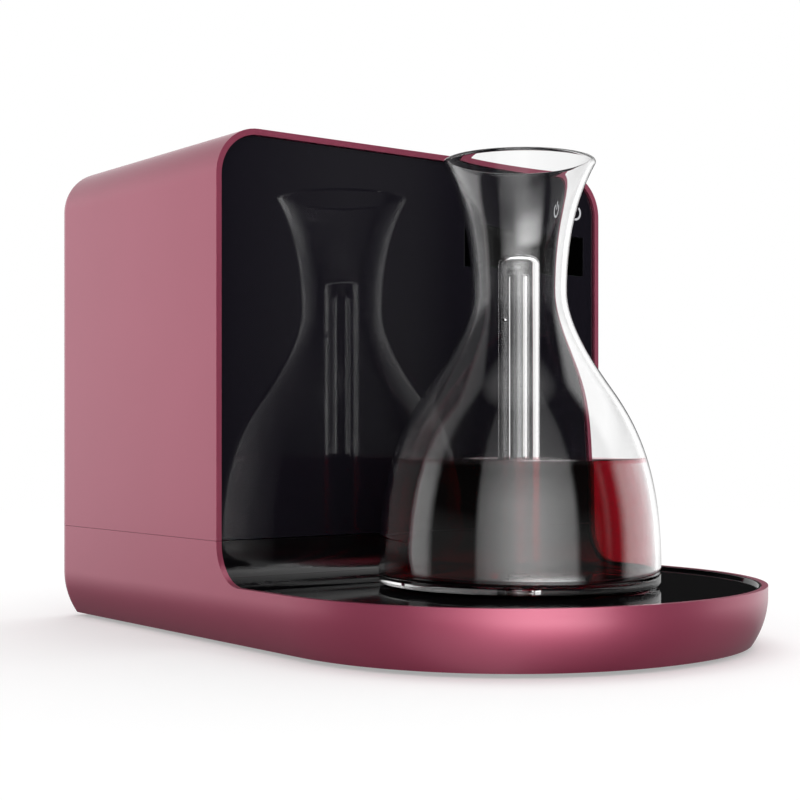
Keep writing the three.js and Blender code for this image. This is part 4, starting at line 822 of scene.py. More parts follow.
# %% Tubes in the carafe
TUBE_RADIUS = 10.2 * MM
TUBE_WALL = 2 * MM
TUBE_FOOT = 6.3 * MM


def aeration_tube():
    inner, top, turn = TUBE_RADIUS - TUBE_WALL, 161.6 * MM, 5 * MM
    across, vent_height, vent_radius = 15 * MM, 129 * MM, 0.8 * MM
    profile = [(inner, TUBE_FOOT), (TUBE_RADIUS, TUBE_FOOT)]
    profile += arc(TUBE_RADIUS - turn, top - turn, turn, 0, 1, 12) + [(0, top), (0, top - TUBE_WALL)]
    profile += arc(TUBE_RADIUS - turn, top - turn, turn - TUBE_WALL, 1, 0, 10)
    tube = turned("aeration_tube_glass", profile[:-1], (0, CARAFE_Y, CARAFE_Z), 64)
    notch, notch_top = 4 * MM, CARAFE_Z + 11.3 * MM
    notches = [prism("notch", rounded_rectangle(*size, MM, 0, CARAFE_Y), "z", CARAFE_Z, notch_top)
               for size in ((notch, 2 * across), (2 * across, notch))]
    vent = rod(CARAFE_Y, CARAFE_Z + vent_height, vent_radius, "x", -across, 0, 24)
    return smooth(cut(tube, *notches, vent), 30)


def riser_tube():
    outer, top, edge, weld_width, weld_height = 5 * MM, 152 * MM, 0.6 * MM, 2 * MM, 3 * MM
    profile = [(BORE, TUBE_FOOT), (outer + weld_width, TUBE_FOOT), (outer + edge, TUBE_FOOT + 2 * edge),
               (outer, TUBE_FOOT + weld_height), (outer, top - edge), (outer - edge, top), (BORE, top)]
    return smooth(turned("riser_glass", profile, (0, CARAFE_Y, CARAFE_Z), 48), 30)


dress(aeration_tube(), "carafe", "clear_glass", glass, "aeration_tube")
dress(riser_tube(), "carafe", "clear_glass", glass, "riser_tube")

# %% [markdown]
# ## Wine
# The wine fills the bowl to 90 mm above the table and wets the aeration tube, and its surface climbs both
# walls in a small meniscus. It could share the glass's faces or reach into them. Here its skin lies a
# hair inside the glass, because two faces in one place leave black flecks, and where two solids overlap,
# light bends in the wrong places.

# %% Wine
WINE_TOP = 90 * MM - CARAFE_Z
MENISCUS_WIDTH, MENISCUS_HEIGHT = 1.6 * MM, 0.9 * MM
BEND_OUT, BEND_UP = 0.5 * MM, 0.3 * MM
FILM = 0.1 * MM


def red_wine_fill():
    inside = [(r, h) for r, h in wall_points(GLASS_WALL + HAIR) if h < WINE_TOP]
    rim, tube, boss = inside[-1][0], TUBE_RADIUS + HAIR, BOSS_TOP + HAIR
    profile = [(tube, boss), (BOSS_RADIUS, boss), (BOSS_RADIUS + BOSS_SLOPE + HAIR, GLASS_FLOOR + HAIR)]
    profile += arc(BELLY.x - GLASS_WALL - HEEL - HAIR, GLASS_FLOOR + HEEL, HEEL - HAIR, -1, 0, 8) + inside[1:]
    profile += [(rim - FILM, WINE_TOP + MENISCUS_HEIGHT), (rim - BEND_OUT, WINE_TOP + BEND_UP),
                (rim - MENISCUS_WIDTH, WINE_TOP), (tube + MENISCUS_WIDTH, WINE_TOP),
                (tube + BEND_OUT, WINE_TOP + BEND_UP), (tube, WINE_TOP + MENISCUS_HEIGHT)]
    return smooth(turned("red_wine", profile, (0, CARAFE_Y, CARAFE_Z), 128), 60)


dress(red_wine_fill(), "carafe", "clear_glass", wine)

# %% [markdown]
# ## Seat gasket, gas nozzle and O-ring
# The carafe stands on a rubber ring, and a steel nozzle in its middle feeds the riser through an O-ring.
# All three are round, from a mould or a lathe, so each is one profile turned about the carafe's axis.

# %% Seat and nozzle
RING_Z = TRAY_Z + 1.8 * MM
RING_RADIUS, RING_CORD = 5.8 * MM, 0.7 * MM


def seat_gasket():
    low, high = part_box("seat_gasket")
    inner, edge = high.x - GASKET_WIDTH, 0.5 * MM
    profile = ([(inner, low.z), (high.x, low.z)] + arc(high.x - edge, high.z - edge, edge, 0, 1, 6)
               + arc(inner + edge, high.z - edge, edge, 1, 2, 6))
    return smooth(turned("seat_gasket_ring", profile, (0, CARAFE_Y, 0), 128), 50)


def gas_nozzle():
    bore, neck, nipple, groove = 1.5 * MM, 4.7 * MM, 2.4 * MM, 1.1 * MM
    low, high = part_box("gas_nozzle")
    flange, foot = high.x, low.z + 6 * MM
    top = foot + 3 * MM
    profile = [(bore, low.z), (nipple - FIT, low.z), (nipple, low.z + FIT), (nipple, foot),
               (flange - FIT, foot), (flange, foot + FIT), (flange, top - FIT), (flange - FIT, top),
               (NOZZLE_RADIUS, top), (NOZZLE_RADIUS, RING_Z - groove), (neck, RING_Z - groove),
               (neck, RING_Z + groove), (NOZZLE_RADIUS, RING_Z + groove), (neck, high.z), (bore, high.z)]
    return smooth(turned("gas_nozzle_body", profile, (0, CARAFE_Y, 0), 64), 30)


def nozzle_ring():
    section = circle(RING_RADIUS, RING_Z, RING_CORD, 16)
    return smooth(turned("nozzle_ring", section, (0, CARAFE_Y, 0), 64), 80)


dress(seat_gasket(), "housing", "rubber", rubber, "seat_gasket")
dress(gas_nozzle(), "housing", "steel", steel, "gas_nozzle")
dress(nozzle_ring(), "housing", "rubber", rubber, "nozzle_o_ring")

# %% [markdown]
# ## What repeats: Geometry Nodes
# Feet, screws, slots and fan blades come in sets. They could be modelled once and copied by hand, but
# then a change means all the copies again. So each has a small geometry tree with named sizes. The tree
# puts one shape on every point of a host mesh, turns it, makes the copies real and gives them their
# material.

# %% Geometry Nodes helpers
MATH = "ShaderNodeMath"
XYZ = "ShaderNodeCombineXYZ"


def named_tree(name, *sizes):
    """A geometry tree with one named number input for each size, its adder, and its input node's outputs."""
    tree = bpy.data.node_groups.new(name, "GeometryNodeTree")
    tree.interface.new_socket("Geometry", in_out="INPUT", socket_type="NodeSocketGeometry")
    for label in sizes + ("Turn",):
        tree.interface.new_socket(label, in_out="INPUT", socket_type="NodeSocketFloat")
    tree.interface.new_socket("Geometry", in_out="OUTPUT", socket_type="NodeSocketGeometry")
    add = node_adder(tree)
    return tree, add, add("NodeGroupInput").outputs


def put_on_points(tree, add, size, shape, material):
    """Ends the tree: the shape on every point of the host, turned about X."""
    turn = add("FunctionNodeEulerToRotation", Euler=add(XYZ, X=size["Turn"]))
    placed = add("GeometryNodeInstanceOnPoints", Points=size["Geometry"], Instance=shape, Rotation=turn)
    real = add("GeometryNodeRealizeInstances", Geometry=placed)
    add("NodeGroupOutput", Geometry=add("GeometryNodeSetMaterial", Geometry=real, Material=material))
    return tree


def grown(name, tree, points, sizes):
    """Runs the tree on loose points, with its inputs set by identifier, and keeps a plain mesh."""
    mesh = bpy.data.meshes.new(name)
    mesh.from_pydata(points, [], [])
    piece = bpy.data.objects.new(name, mesh)
    scene.collection.objects.link(piece)
    step = piece.modifiers.new("tree", "NODES")
    step.node_group = tree
    for item in tree.interface.items_tree:
        if item.in_out == "INPUT" and item.name in sizes:
            step[item.identifier] = float(sizes[item.name])
    return apply_modifiers(piece)


# %% [markdown]
# ## Studs: feet and screws
# A rubber foot and a pan-head screw are the same shape in the round: a head with a broken edge, a stem,
# and a cone at its end. So one tree makes both, and screws get a cross recess as well.

# %% Stud tree
def stud_tree(name, material, cross):
    """Cones that stand on each other, joined: the head's edge, the head, the stem and its end."""
    tree, add, size = named_tree(name, "Head Radius", "Head Height", "Edge", "Stem Radius", "Stem Length",
                                 "End Lower", "End Upper", "End Height")
    head, stem = size["Head Radius"], size["Stem Radius"]
    rim = add(MATH, "SUBTRACT", head, size["Edge"])
    side = add(MATH, "SUBTRACT", size["Head Height"], size["Edge"])
    bottom = add(MATH, "MULTIPLY", size["Head Height"], -1.0)
    cones = []
    for lower, upper, height, start in (
            (rim, head, size["Edge"], bottom), (head, head, side, add(MATH, "MULTIPLY", side, -1.0)),
            (stem, stem, size["Stem Length"], 0.0),
            (size["End Lower"], size["End Upper"], size["End Height"], size["Stem Length"])):
        cone = add("GeometryNodeMeshCone", Vertices=40, Radius_Bottom=lower, Radius_Top=upper, Depth=height)
        cones.append(add("GeometryNodeTransform", Geometry=cone, Translation=add(XYZ, Z=start)))
    shape = add("GeometryNodeMeshBoolean", "UNION", Mesh_2=cones)
    if cross:
        wide, narrow = (add(MATH, "MULTIPLY", head, share) for share in (1.2, 0.28))
        down, bars = add(XYZ, Z=bottom), []
        for first, second in ((wide, narrow), (narrow, wide)):
            block = add("GeometryNodeMeshCube", Size=add(XYZ, X=first, Y=second, Z=side))
            bars.append(add("GeometryNodeTransform", Geometry=block, Translation=down))
        shape = add("GeometryNodeMeshBoolean", "DIFFERENCE", shape, Mesh_2=bars)
    return put_on_points(tree, add, size, shape, material)


# %% Feet and screws
SIDES = ("left", "right")
foot_nodes = [f"foot_{row}_{side}" for row in ("rear", "front") for side in SIDES]
base_nodes = [f"base_screw_{row}_{side}" for row in ("rear", "front") for side in SIDES]
rear_nodes = [f"rear_screw_{row}_{side}" for row in ("lower", "upper") for side in SIDES]
BASE_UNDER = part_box("base_plate")[0].z
BASE_SHEET = 2.5 * MM
SCREW_SINK = 1.2 * MM
FOOT = {"Head Radius": 9 * MM, "Head Height": BASE_UNDER - FIT, "Edge": 0.5 * MM, "Stem Radius": 3 * MM,
        "Stem Length": BASE_SHEET + 2 * FIT, "End Lower": 3.9 * MM, "End Upper": 3 * MM,
        "End Height": 1.6 * MM}
BASE_SCREW = {"Head Radius": 3 * MM, "Head Height": 1.5 * MM, "Edge": 0.4 * MM, "Stem Radius": 1.5 * MM,
              "Stem Length": 10 * MM, "End Lower": 1.5 * MM, "End Upper": 0.8 * MM, "End Height": 1 * MM}
REAR_SCREW = {"Head Radius": 2.4 * MM, "Head Height": 1.2 * MM, "Edge": 0.3 * MM, "Stem Radius": 1.2 * MM,
              "Stem Length": 3 * MM, "End Lower": 1.2 * MM, "End Upper": 0.7 * MM, "End Height": 0.6 * MM,
              "Turn": math.pi / 2}


def under_base(names):
    return [(spot.x, spot.y, BASE_UNDER - FIT) for spot in map(middle, names)]


screw_tree = stud_tree("cross_head_screw", steel, True)
foot_tree = stud_tree("push_in_foot", rubber, False)
feet = smooth(grown("rubber_feet", foot_tree, under_base(foot_nodes), FOOT))
dress(feet, "housing", "rubber", rubber, *foot_nodes)
base_screws = smooth(grown("base_screws", screw_tree, under_base(base_nodes), BASE_SCREW))
dress(base_screws, "housing", "steel", steel, *base_nodes)
rear_spots = [(spot.x, REAR_BACK - SCREW_SINK, spot.z) for spot in map(middle, rear_nodes)]
rear_screws = smooth(grown("rear_screws", screw_tree, rear_spots, REAR_SCREW))
dress(rear_screws, "housing", "steel", steel, *rear_nodes)

# %% [markdown]
# ## Rear cover
# A moulded cover closes the back: round guard slots in front of the fan, a row of intake slots for the
# filter, and the hole for the mains inlet. A texture with holes would look flat from the side, so the
# trees make cutters, and the sheet that is cut with them has real ribs.

# %% Slot and guard trees
SECTION = "GeometryNodeCurvePrimitiveQuadrilateral"


def slot_tree():
    """A row of rounded slots along X, long in Y, that reaches through in Z."""
    tree, add, size = named_tree("slot_row", "Count", "Width", "Length", "Pitch", "Reach")
    rounded = add("GeometryNodeFilletCurve", {"mode": "POLY"}, Count=6,
                  Curve=add(SECTION, Width=size["Width"], Height=size["Length"]),
                  Radius=add(MATH, "MULTIPLY", size["Width"], 0.49))
    half = add(MATH, "MULTIPLY", size["Reach"], 0.5)
    path = add("GeometryNodeCurvePrimitiveLine", Start=add(XYZ, Z=add(MATH, "MULTIPLY", half, -1.0)),
               End=add(XYZ, Z=half))
    slot = add("GeometryNodeCurveToMesh", Curve=path, Profile_Curve=rounded, Fill_Caps=True)
    length = add(MATH, "MULTIPLY", add(MATH, "SUBTRACT", size["Count"], 1.0), size["Pitch"])
    line = add("GeometryNodeMeshLine", Count=size["Count"], Offset=add(XYZ, X=size["Pitch"]),
               Start_Location=add(XYZ, X=add(MATH, "MULTIPLY", length, -0.5)))
    row = add("GeometryNodeInstanceOnPoints", Points=line, Instance=slot)
    return put_on_points(tree, add, size, row, abs_black)


def guard_tree():
    """Ring slots about Z, parted by two crossed spokes."""
    tree, add, size = named_tree("fan_guard", "Rings", "Hub Radius", "Slot", "Rib", "Spoke", "Reach")
    step = add(MATH, "MULTIPLY", add("GeometryNodeInputIndex"), add(MATH, "ADD", size["Slot"], size["Rib"]))
    first = add(MATH, "ADD", size["Hub Radius"], add(MATH, "MULTIPLY", size["Slot"], 0.5))
    radius = add(MATH, "ADD", first, step)
    loops = add("GeometryNodeInstanceOnPoints", Points=add("GeometryNodePoints", Count=size["Rings"]),
                Instance=add("GeometryNodeCurvePrimitiveCircle", Resolution=96, Radius=1.0),
                Scale=add(XYZ, X=radius, Y=radius, Z=1.0))
    rings = add("GeometryNodeCurveToMesh", Curve=add("GeometryNodeRealizeInstances", Geometry=loops),
                Profile_Curve=add(SECTION, Width=size["Slot"], Height=size["Reach"]))
    span = add(MATH, "MULTIPLY", size["Rings"], add(MATH, "MULTIPLY", size["Hub Radius"], 4.0))
    deep = add(MATH, "MULTIPLY", size["Reach"], 2.0)
    spokes = [add("GeometryNodeMeshCube", Size=add(XYZ, X=x, Y=y, Z=deep))
              for x, y in ((span, size["Spoke"]), (size["Spoke"], span))]
    arcs = add("GeometryNodeMeshBoolean", "DIFFERENCE", rings, Mesh_2=spokes)
    return put_on_points(tree, add, size, arcs, abs_black)


# %% Rear cover
FAN_X, FAN_Z = [(a + b) / 2 for a, b in zip(*(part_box("fan_frame")[i].xz for i in (0, 1)))]
PEG_SPREAD = 35.7 * MM
PEG_RADIUS, PEG_LENGTH = 1.9 * MM, 4 * MM
SCREW_HEAD_HOLE, SCREW_HOLE = 2.7 * MM, 1.5 * MM
SLOT_ROW_INSET = 20.5 * MM
FAN_PEGS = [(x, z) for x in (FAN_X - PEG_SPREAD, FAN_X + PEG_SPREAD)
            for z in (FAN_Z - PEG_SPREAD, FAN_Z + PEG_SPREAD)]
INLET_WIDTH, INLET_HEIGHT = 27 * MM, 17 * MM
inlet_low, inlet_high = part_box("mains_inlet")
INLET_X, INLET_Z = (inlet_low.x + inlet_high.x) / 2, (inlet_low.z + inlet_high.z) / 2
filter_low, filter_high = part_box("intake_filter")
slots_in_row = slot_tree()


def rear_cover():
    front, half_way = REAR_BACK - REAR_SHEET, REAR_BACK - REAR_SHEET / 2
    sheet = prism("rear_cover_skin", box_outline("rear_cover", 0, REAR_CORNER), "y", front, REAR_BACK)
    join(sheet, *(rod(x, z, PEG_RADIUS, "y", front - PEG_LENGTH, front + JOIN, 24) for x, z in FAN_PEGS))
    guard = grown("guard", guard_tree(), [(FAN_X, half_way, FAN_Z)],
                  {"Rings": 4, "Hub Radius": 7 * MM, "Slot": 3.8 * MM, "Rib": 3.4 * MM, "Spoke": 3.4 * MM,
                   "Reach": 2 * OVERRUN, "Turn": math.pi / 2})
    row = (filter_high.x - SLOT_ROW_INSET, half_way, (filter_low.z + filter_high.z) / 2)
    intake = grown("slots", slots_in_row, [row],
                   {"Count": 9, "Width": 2.4 * MM, "Length": 30 * MM, "Pitch": 4.4 * MM, "Reach": 2 * OVERRUN,
                    "Turn": math.pi / 2})
    hole = rounded_rectangle(INLET_WIDTH + 2 * FIT, INLET_HEIGHT + 2 * FIT, 1.8 * MM, INLET_X, INLET_Z)
    cut(sheet, guard, intake, prism("inlet_hole", hole, "y", front - OVERRUN, REAR_BACK + OVERRUN))
    sink = REAR_BACK - SCREW_SINK - FIT
    for spot in map(middle, rear_nodes):
        cut(sheet, rod(spot.x, spot.z, SCREW_HEAD_HOLE, "y", sink, REAR_BACK + OVERRUN),
            rod(spot.x, spot.z, SCREW_HOLE, "y", front - OVERRUN, REAR_BACK))
    return broken_edges(sheet, 0.3 * MM, 2)


dress(rear_cover(), "housing", "black_plastic", abs_black, "rear_cover")

# %% [markdown]
# ## Cooling fan
# The frame is a square with a round bore and a motor seat on four arms. The rotor has seven blades. They
# are steeper at the root than at the tip, because the tip moves faster and the air has to leave evenly. A
# blade could be shaped by eye, but this is a rule, so its tree bends a flat plate by the pitch at each
# radius.

# %% Fan frame
FAN_BORE = 37.5 * MM
FAN_SHAFT = 2 * MM


def fan_frame():
    low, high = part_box("fan_frame")
    size = high.x - low.x
    square = rounded_rectangle(size, size, 5 * MM, FAN_X, FAN_Z)
    body = ring_prism("fan_frame_body", square, circle(FAN_X, FAN_Z, FAN_BORE, 96), "y", low.y, high.y)
    cut(body, *(rod(x, z, PEG_RADIUS + FIT, "y", high.y - PEG_LENGTH - FIT, high.y + OVERRUN, 32)
                for x, z in FAN_PEGS))
    arm, reach, depth, seat_radius, seat_depth = 2 * MM, FAN_BORE + JOIN, 3 * MM, 15 * MM, 4 * MM
    join(body, *(prism("arms", rectangle(FAN_X - x, FAN_X + x, FAN_Z - z, FAN_Z + z), "y",
                       low.y, low.y + depth) for x, z in ((reach, arm), (arm, reach))),
         rod(FAN_X, FAN_Z, seat_radius, "y", low.y, low.y + seat_depth, 64))
    bearing = rod(FAN_X, FAN_Z, FAN_SHAFT + FIT, "y", low.y + FIT, high.y, 32)
    return broken_edges(cut(body, bearing), 0.4 * MM, 2)


# %% Fan rotor
def blade_tree():
    """Twisted, cambered blades round Z. The camber is the height of the middle of the chord."""
    tree, add, size = named_tree("fan_blades", "Blades", "Root Radius", "Tip Radius", "Chord", "Thickness",
                                 "Root Pitch", "Tip Pitch", "Camber")
    length = add(MATH, "SUBTRACT", size["Tip Radius"], size["Root Radius"])
    plate = add("GeometryNodeMeshCube", Size=add(XYZ, X=length, Y=size["Chord"], Z=size["Thickness"]),
                Vertices_X=12, Vertices_Y=9, Vertices_Z=2)
    spot = add("ShaderNodeSeparateXYZ", Vector=add("GeometryNodeInputPosition")).outputs
    share = add(MATH, "ADD", add(MATH, "DIVIDE", spot["X"], length), 0.5)
    pitch = add("ShaderNodeMapRange", Value=share, To_Min=size["Root Pitch"], To_Max=size["Tip Pitch"])
    edge = add(MATH, "DIVIDE", spot["Y"], add(MATH, "MULTIPLY", size["Chord"], 0.5))
    fall = add(MATH, "SUBTRACT", 1.0, add(MATH, "MULTIPLY", edge, edge))
    height = add(MATH, "ADD", spot["Z"], add(MATH, "MULTIPLY", size["Camber"], fall))
    twist = add("ShaderNodeVectorRotate", {"rotation_type": "X_AXIS"},
                Angle=add(MATH, "MULTIPLY", pitch, -1.0),
                Vector=add(XYZ, X=spot["X"], Y=spot["Y"], Z=height))
    out = add(MATH, "ADD", size["Root Radius"], add(MATH, "MULTIPLY", length, 0.5))
    blade = add("GeometryNodeTransform", Translation=add(XYZ, X=out),
                Geometry=add("GeometryNodeSetPosition", Geometry=plate, Position=twist))
    step = add(MATH, "DIVIDE", 2 * math.pi, size["Blades"])
    angle = add(MATH, "MULTIPLY", add("GeometryNodeInputIndex"), step)
    blades = add("GeometryNodeInstanceOnPoints", Points=add("GeometryNodePoints", Count=size["Blades"]),
                 Instance=blade, Rotation=add("FunctionNodeEulerToRotation", Euler=add(XYZ, Z=angle)))
    return put_on_points(tree, add, size, blades, abs_black)


def fan_rotor():
    low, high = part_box("fan_rotor")
    hub, length, edge = 16 * MM, 13 * MM, 1.5 * MM
    start = high.y - length
    profile = ([(0, low.y), (FAN_SHAFT, low.y), (FAN_SHAFT, start), (hub, start)]
               + arc(hub - edge, high.y - edge, edge, 0, 1, 6) + [(0, high.y)])
    rotor = turned("fan_rotor_body", profile, (FAN_X, 0, FAN_Z), 96, "y")
    blades = grown("blades", blade_tree(), [(FAN_X, start + length / 2, FAN_Z)],
                   {"Blades": 7, "Root Radius": 15 * MM, "Tip Radius": 35.4 * MM, "Chord": 17 * MM,
                    "Thickness": 1.4 * MM, "Root Pitch": math.radians(42), "Tip Pitch": math.radians(26),
                    "Camber": 0.5 * MM, "Turn": -math.pi / 2})
    return smooth(join(rotor, blades), 35)


dress(fan_frame(), "housing", "black_plastic", abs_black, "fan_frame")
dress(fan_rotor(), "fan_rotor", "black_plastic", abs_black, "fan_rotor")

# %% [markdown]
# ## Mains inlet
# A two-pole appliance inlet: a shroud whose socket is two joined rounds, with a round pin in each. The
# socket is cut with two rods and a block between them, and the pins are turned with domed ends.

# %% Mains inlet
LOBE = 4 * MM
WAIST = 3.4 * MM
PIN_SPREAD = 4.3 * MM
PIN_HOLE = 1.5 * MM
SOCKET_FLOOR = 4 * MM
COLLAR = 2.4 * MM


def mains_inlet():
    front, socket, back = REAR_BACK - REAR_SHEET - FIT, inlet_low.y + SOCKET_FLOOR, REAR_BACK + OVERRUN
    shroud = rounded_rectangle(INLET_WIDTH, INLET_HEIGHT, 1.5 * MM, INLET_X, INLET_Z)
    body = join(prism("mains_inlet_body", shroud, "y", inlet_low.y, inlet_high.y),
                prism("collar", box_outline("mains_inlet", 0, 2 * MM), "y", front - COLLAR, front))
    for x in (INLET_X - PIN_SPREAD, INLET_X + PIN_SPREAD):
        cut(body, rod(x, INLET_Z, LOBE, "y", socket, back, 64),
            rod(x, INLET_Z, PIN_HOLE, "y", inlet_low.y - OVERRUN, REAR_BACK, 32))
    waist = rectangle(INLET_X - PIN_SPREAD, INLET_X + PIN_SPREAD, INLET_Z - WAIST, INLET_Z + WAIST)
    return broken_edges(cut(body, prism("waist", waist, "y", socket, back)), 0.3 * MM, 2)


def inlet_pin(side):
    low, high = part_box(f"inlet_pin_{side}")
    radius = (high.x - low.x) / 2
    profile = [(0, low.y), (radius, low.y)] + arc(0, high.y - radius, radius, 0, 1, 8)
    return smooth(turned(f"pin_{side}", profile, ((low.x + high.x) / 2, 0, INLET_Z), 32, "y"), 50)


dress(mains_inlet(), "housing", "black_plastic", abs_black, "mains_inlet")
for side in SIDES:
    dress(inlet_pin(side), "housing", "brass", brass, f"inlet_pin_{side}")

# %% [markdown]
# ## Base plate
# The plate below carries everything, so it has posts for the boards and the tray, and vents under the
# compressor. The vents use the slot tree of the rear cover again: with named sizes, one tree fits both.

# %% Base plate
TRAY_POST_X, TRAY_POST_Y = 45 * MM, 30 * MM
TRAY_POST, BOARD_POST = 4 * MM, 3.5 * MM
FOOT_HOLE, BASE_SCREW_HOLE = 3.3 * MM, 1.8 * MM


def base_plate():
    top, inset = BASE_UNDER + BASE_SHEET, 6 * MM
    sheet = prism("base_plate_skin", plan_outline(BOWL_INSET + WALL + FIT), "z", BASE_UNDER, top)
    board_low, board_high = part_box("power_board")
    posts = [(x, y, BOARD_POST, board_low.z - FIT) for x in (board_low.x + inset, board_high.x - inset)
             for y in (board_low.y + inset, board_high.y - inset)]
    posts += [(x, CARAFE_Y + y, TRAY_POST, TRAY_Z - LINER - FIT) for x in (-TRAY_POST_X, TRAY_POST_X)
              for y in (-TRAY_POST_Y, TRAY_POST_Y)]
    join(sheet, *(rod(x, y, radius, "z", top - JOIN, height, 32) for x, y, radius, height in posts))
    for names, radius in ((foot_nodes, FOOT_HOLE), (base_nodes, BASE_SCREW_HOLE)):
        cut(sheet, *(rod(spot.x, spot.y, radius, "z", 0, top + OVERRUN, 32) for spot in map(middle, names)))
    bracket = middle("compressor_bracket")
    vents = grown("vents", slots_in_row, [(bracket.x, bracket.y, top)],
                  {"Count": 7, "Width": 3 * MM, "Length": 46 * MM, "Pitch": 9 * MM, "Reach": 4 * BASE_SHEET})
    return broken_edges(cut(sheet, vents), 0.3 * MM, 2)


dress(base_plate(), "housing", "black_plastic", abs_black, "base_plate")

# %% [markdown]
# ## Return spring
# The compressor's shuttle swings on a coil of hard steel wire. A Screw modifier could wind it, but it
# leaves the wire's section upright instead of square to the turn. So its tree sweeps a round section
# along a spiral. The foot stays on the bracket, and the coil stands fixed at its full height.

# %% Return spring
SPRING_RADIUS = 7.5 * MM
SPRING_WIRE = 0.9 * MM
spring_low, spring_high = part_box("return_spring")


def spring_tree():
    tree, add, size = named_tree("coil_spring", "Turns", "Coil Radius", "Wire Radius", "Rise")
    coil = add("GeometryNodeCurveSpiral", Resolution=48, Rotations=size["Turns"], Height=size["Rise"],
               Start_Radius=size["Coil Radius"], End_Radius=size["Coil Radius"])
    section = add("GeometryNodeCurvePrimitiveCircle", Resolution=12, Radius=size["Wire Radius"])
    wound = add("GeometryNodeCurveToMesh", Curve=coil, Profile_Curve=section, Fill_Caps=True)
    return put_on_points(tree, add, size, wound, steel)


def return_spring():
    centre = middle("return_spring")
    foot = (centre.x, centre.y, spring_low.z + SPRING_WIRE)
    return smooth(grown("return_spring_coil", spring_tree(), [foot],
                        {"Turns": 4, "Coil Radius": SPRING_RADIUS, "Wire Radius": SPRING_WIRE,
                         "Rise": spring_high.z - spring_low.z - 2 * SPRING_WIRE}), 60)


spring = dress(return_spring(), None, "steel", steel, "return_spring")
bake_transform(spring)
print("spring stands", round((spring_high.z - spring_low.z) / MM, 1), "mm high")


# %% [markdown]
# ## Studio
# A product photograph is taken between soft boxes and dark cards, and lamps and planes could stand for
# them. Here they are painted on the sky instead, because then nothing stands in the way, and each is a
# few numbers. The floor and the sky are white where the camera sees them, straight or through the glass.
# Diffuse light is an even white as well, so colours render as they are written. Only the glossy surfaces
# see the studio: a wide soft box in front on the left gives the carafe its broad grey reflection, and
# dark cards on both sides of it give the dark edges. A card behind on the right keeps the tray black. A
# strong low box gives the rim its highlight, weak ones lift the neck and the panel, and a high one the
# lip.

# %% Floor
def studio_floor():
    """Paint that takes the object's shadow near it, and fades to plain white further out."""
    near, far, half, glow_near = 0.35, 1.4, 8, 0.35
    material, add = new_material("studio_floor")
    path = add("ShaderNodeLightPath").outputs
    away = add("ShaderNodeVectorMath", "LENGTH", add("ShaderNodeTexCoord").outputs["Object"]).outputs["Value"]
    share = add("ShaderNodeMapRange", Value=away, From_Min=near, From_Max=far, To_Min=glow_near, To_Max=1.0)
    paint = add("ShaderNodeBsdfDiffuse", Color=linear("FDFDFD"))
    glow = add("ShaderNodeEmission", Color=linear("FFFFFF"), Strength=1.0)
    seen = add("ShaderNodeMixShader", None, add("ShaderNodeMath", "MULTIPLY", path["Is Camera Ray"], share),
               paint, glow)
    add("ShaderNodeOutputMaterial", Surface=add("ShaderNodeMixShader", None, path["Is Glossy Ray"], seen,
                                                add("ShaderNodeBsdfTransparent")))
    floor = mesh_object("floor", [(-half, -half, 0), (half, -half, 0), (half, half, 0), (-half, half, 0)],
                        [(0, 1, 2, 3)])
    floor.data.materials.append(material)


# %% World
# Each entry is a light or a card in two lists: its radiance by compass direction, in degrees from -Y towards
# +X, and the share of it that is left at each height, which is the sine of the elevation.
STUDIO_BOXES = {
    "soft box and cards": (
        [(-180, 1.0), (-124, 1.0), (-117, 0.015), (-78, 0.015), (-75, 0.7), (-60, 1.3), (-42, 2.2),
         (-25, 2.1), (-8, 1.5), (4, 1.1), (9, 0.02), (48, 0.02), (58, 1.2), (108, 1.2), (122, 1.0),
         (125, 0.01), (134.5, 0.01), (136, 1.0), (180, 1.0)],
        [(-1, 0.08), (-0.25, 0.14), (-0.11, 0.75), (-0.05, 1.0), (0.25, 1.0), (0.6, 0.45), (1, 0.3)]),
    "low box": (
        [(-56, 0.0), (-30, 4.6), (-8, 4.6), (5, 3.0), (14, 0.0)],
        [(-0.8, 0.01), (-0.5, 0.05), (-0.32, 0.34), (-0.22, 0.98), (-0.12, 1.0), (-0.08, 0.0)]),
    "ceiling": (
        [(-180, 0.7), (180, 0.7)],
        [(-1, 0.0), (0.86, 0.0), (0.94, 1.0), (1, 1.0)]),
    "neck": (
        [(-88, 0.0), (-80, 0.35), (-28, 0.35), (-20, 0.0)],
        [(-0.9, 1.0), (-0.42, 1.0), (-0.3, 0.0)]),
    "light under the tray's card": (
        [(121, 0.0), (125, 0.7), (134.5, 0.7), (137, 0.0)],
        [(-1, 0.08), (-0.25, 0.14), (-0.11, 0.75), (-0.05, 1.0), (0.02, 0.0)]),
    "glow in the panel": (
        [(31, 0.0), (35, 0.16), (37.8, 0.16), (38.8, 0.0)],
        [(-0.1, 0.0), (0.05, 1.0), (0.4, 1.0), (0.5, 0.0)]),
    "high box": (
        [(50, 0.0), (60, 1.0), (140, 1.0), (160, 0.0)],
        [(0.35, 0.0), (0.5, 1.0), (0.8, 1.0), (0.88, 0.0)]),
    "foot of the dark cards": (
        [(-122, 0.0), (-117, 0.08), (-78, 0.08), (-75, 0.0), (6, 0.0), (9, 0.08), (26, 0.08), (30, 0.0)],
        [(-1, 0.4), (0.08, 1.0), (0.2, 0.0)]),
}
BRIGHTEST = 4.6
EVEN_LIGHT = 0.82


def level_along(add, place, stops, low, high, full):
    """The light's level along a line from low to high, through (place, value) stops, as a share of full."""
    node = add("ShaderNodeValToRGB", Fac=add("ShaderNodeMapRange", Value=place, From_Min=low, From_Max=high))
    elements = node.color_ramp.elements
    while len(elements) < len(stops):
        elements.new(0.5)
    for element, (spot, value) in zip(elements, stops):
        element.position = (spot - low) / (high - low)
        element.color = [value / full] * 3 + [1]
    return node


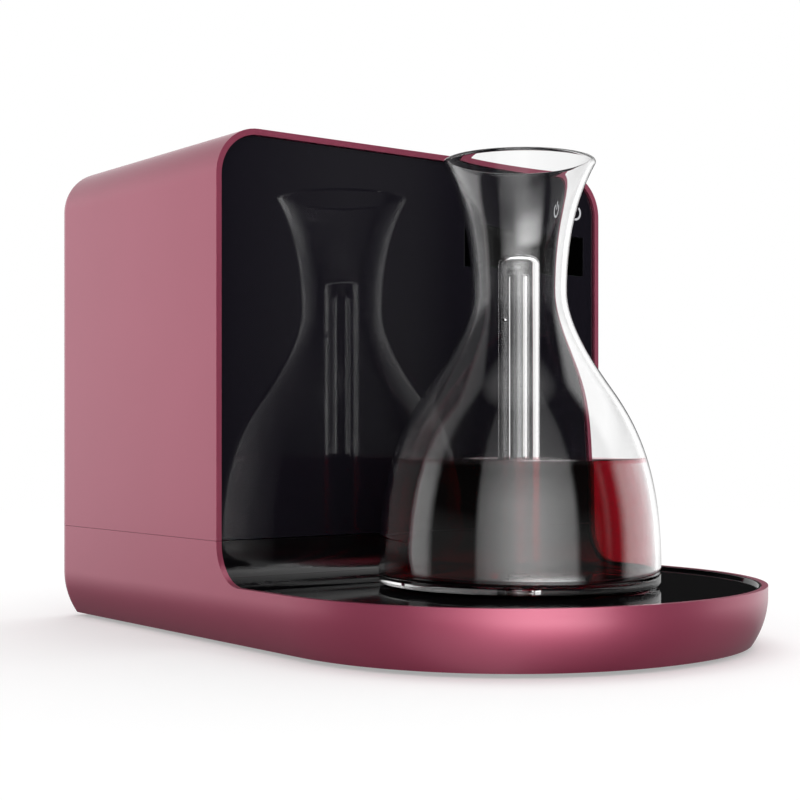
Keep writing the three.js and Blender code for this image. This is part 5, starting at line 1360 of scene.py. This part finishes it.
def studio_colour(add):
    """The studio's radiance by compass direction and height."""
    way = add("ShaderNodeSeparateXYZ", Vector=add("ShaderNodeTexCoord").outputs["Generated"]).outputs
    angle = add("ShaderNodeMath", "ARCTAN2", way["X"], add("ShaderNodeMath", "MULTIPLY", way["Y"], -1.0))
    degrees = add("ShaderNodeMath", "DEGREES", angle)
    total = None
    for compass, heights in STUDIO_BOXES.values():
        box = add("ShaderNodeMix", {**RGB_MIX, "blend_type": "MULTIPLY"}, 1.0,
                  i6=level_along(add, degrees, compass, -180, 180, BRIGHTEST),
                  i7=level_along(add, way["Z"], heights, -1, 1, 1)).outputs[2]
        total = add("ShaderNodeMix", {**RGB_MIX, "blend_type": "ADD"}, 1.0, i6=total,
                    i7=box).outputs[2] if total else box
    return total


def studio_world():
    """Plain white for the camera and for diffuse light, and the studio for what glossy surfaces mirror."""
    world = bpy.data.worlds.new("studio")
    world.use_nodes = True
    world.node_tree.nodes.clear()
    add = node_adder(world.node_tree)
    path = add("ShaderNodeLightPath").outputs
    mirrored = add("ShaderNodeMath", "GREATER_THAN", path["Glossy Depth"], 0.5)
    level = add("ShaderNodeMapRange", Value=path["Is Diffuse Ray"], To_Min=1.0, To_Max=EVEN_LIGHT)
    plain = add("ShaderNodeBackground", Color=linear("FFFFFF"), Strength=level)
    studio = add("ShaderNodeBackground", Color=studio_colour(add), Strength=BRIGHTEST)
    add("ShaderNodeOutputWorld", Surface=add("ShaderNodeMixShader", None, mirrored, plain, studio))
    scene.world = world


# %% Lamp
def soft_box(name, place, aim, size, power):
    """An area lamp that lights the object but shows in no reflection."""
    lamp = bpy.data.objects.new(name, bpy.data.lights.new(name, "AREA"))
    lamp.data.shape = "RECTANGLE"
    lamp.data.size, lamp.data.size_y = size
    lamp.data.energy = power
    lamp.location = place
    lamp.rotation_euler = (Vector(aim) - Vector(place)).to_track_quat("-Z", "Y").to_euler()
    lamp.visible_glossy = False
    scene.collection.objects.link(lamp)


studio_floor()
studio_world()
LAMP_PLACE = (0.5, 0.4, 2.0)
LAMP_SIZE = (1.8, 1.8)
LAMP_WATTS = 16
soft_box("overhead_box", LAMP_PLACE, (0, 0, 0), LAMP_SIZE, LAMP_WATTS)
print("lights and cards in the studio:", len(STUDIO_BOXES))
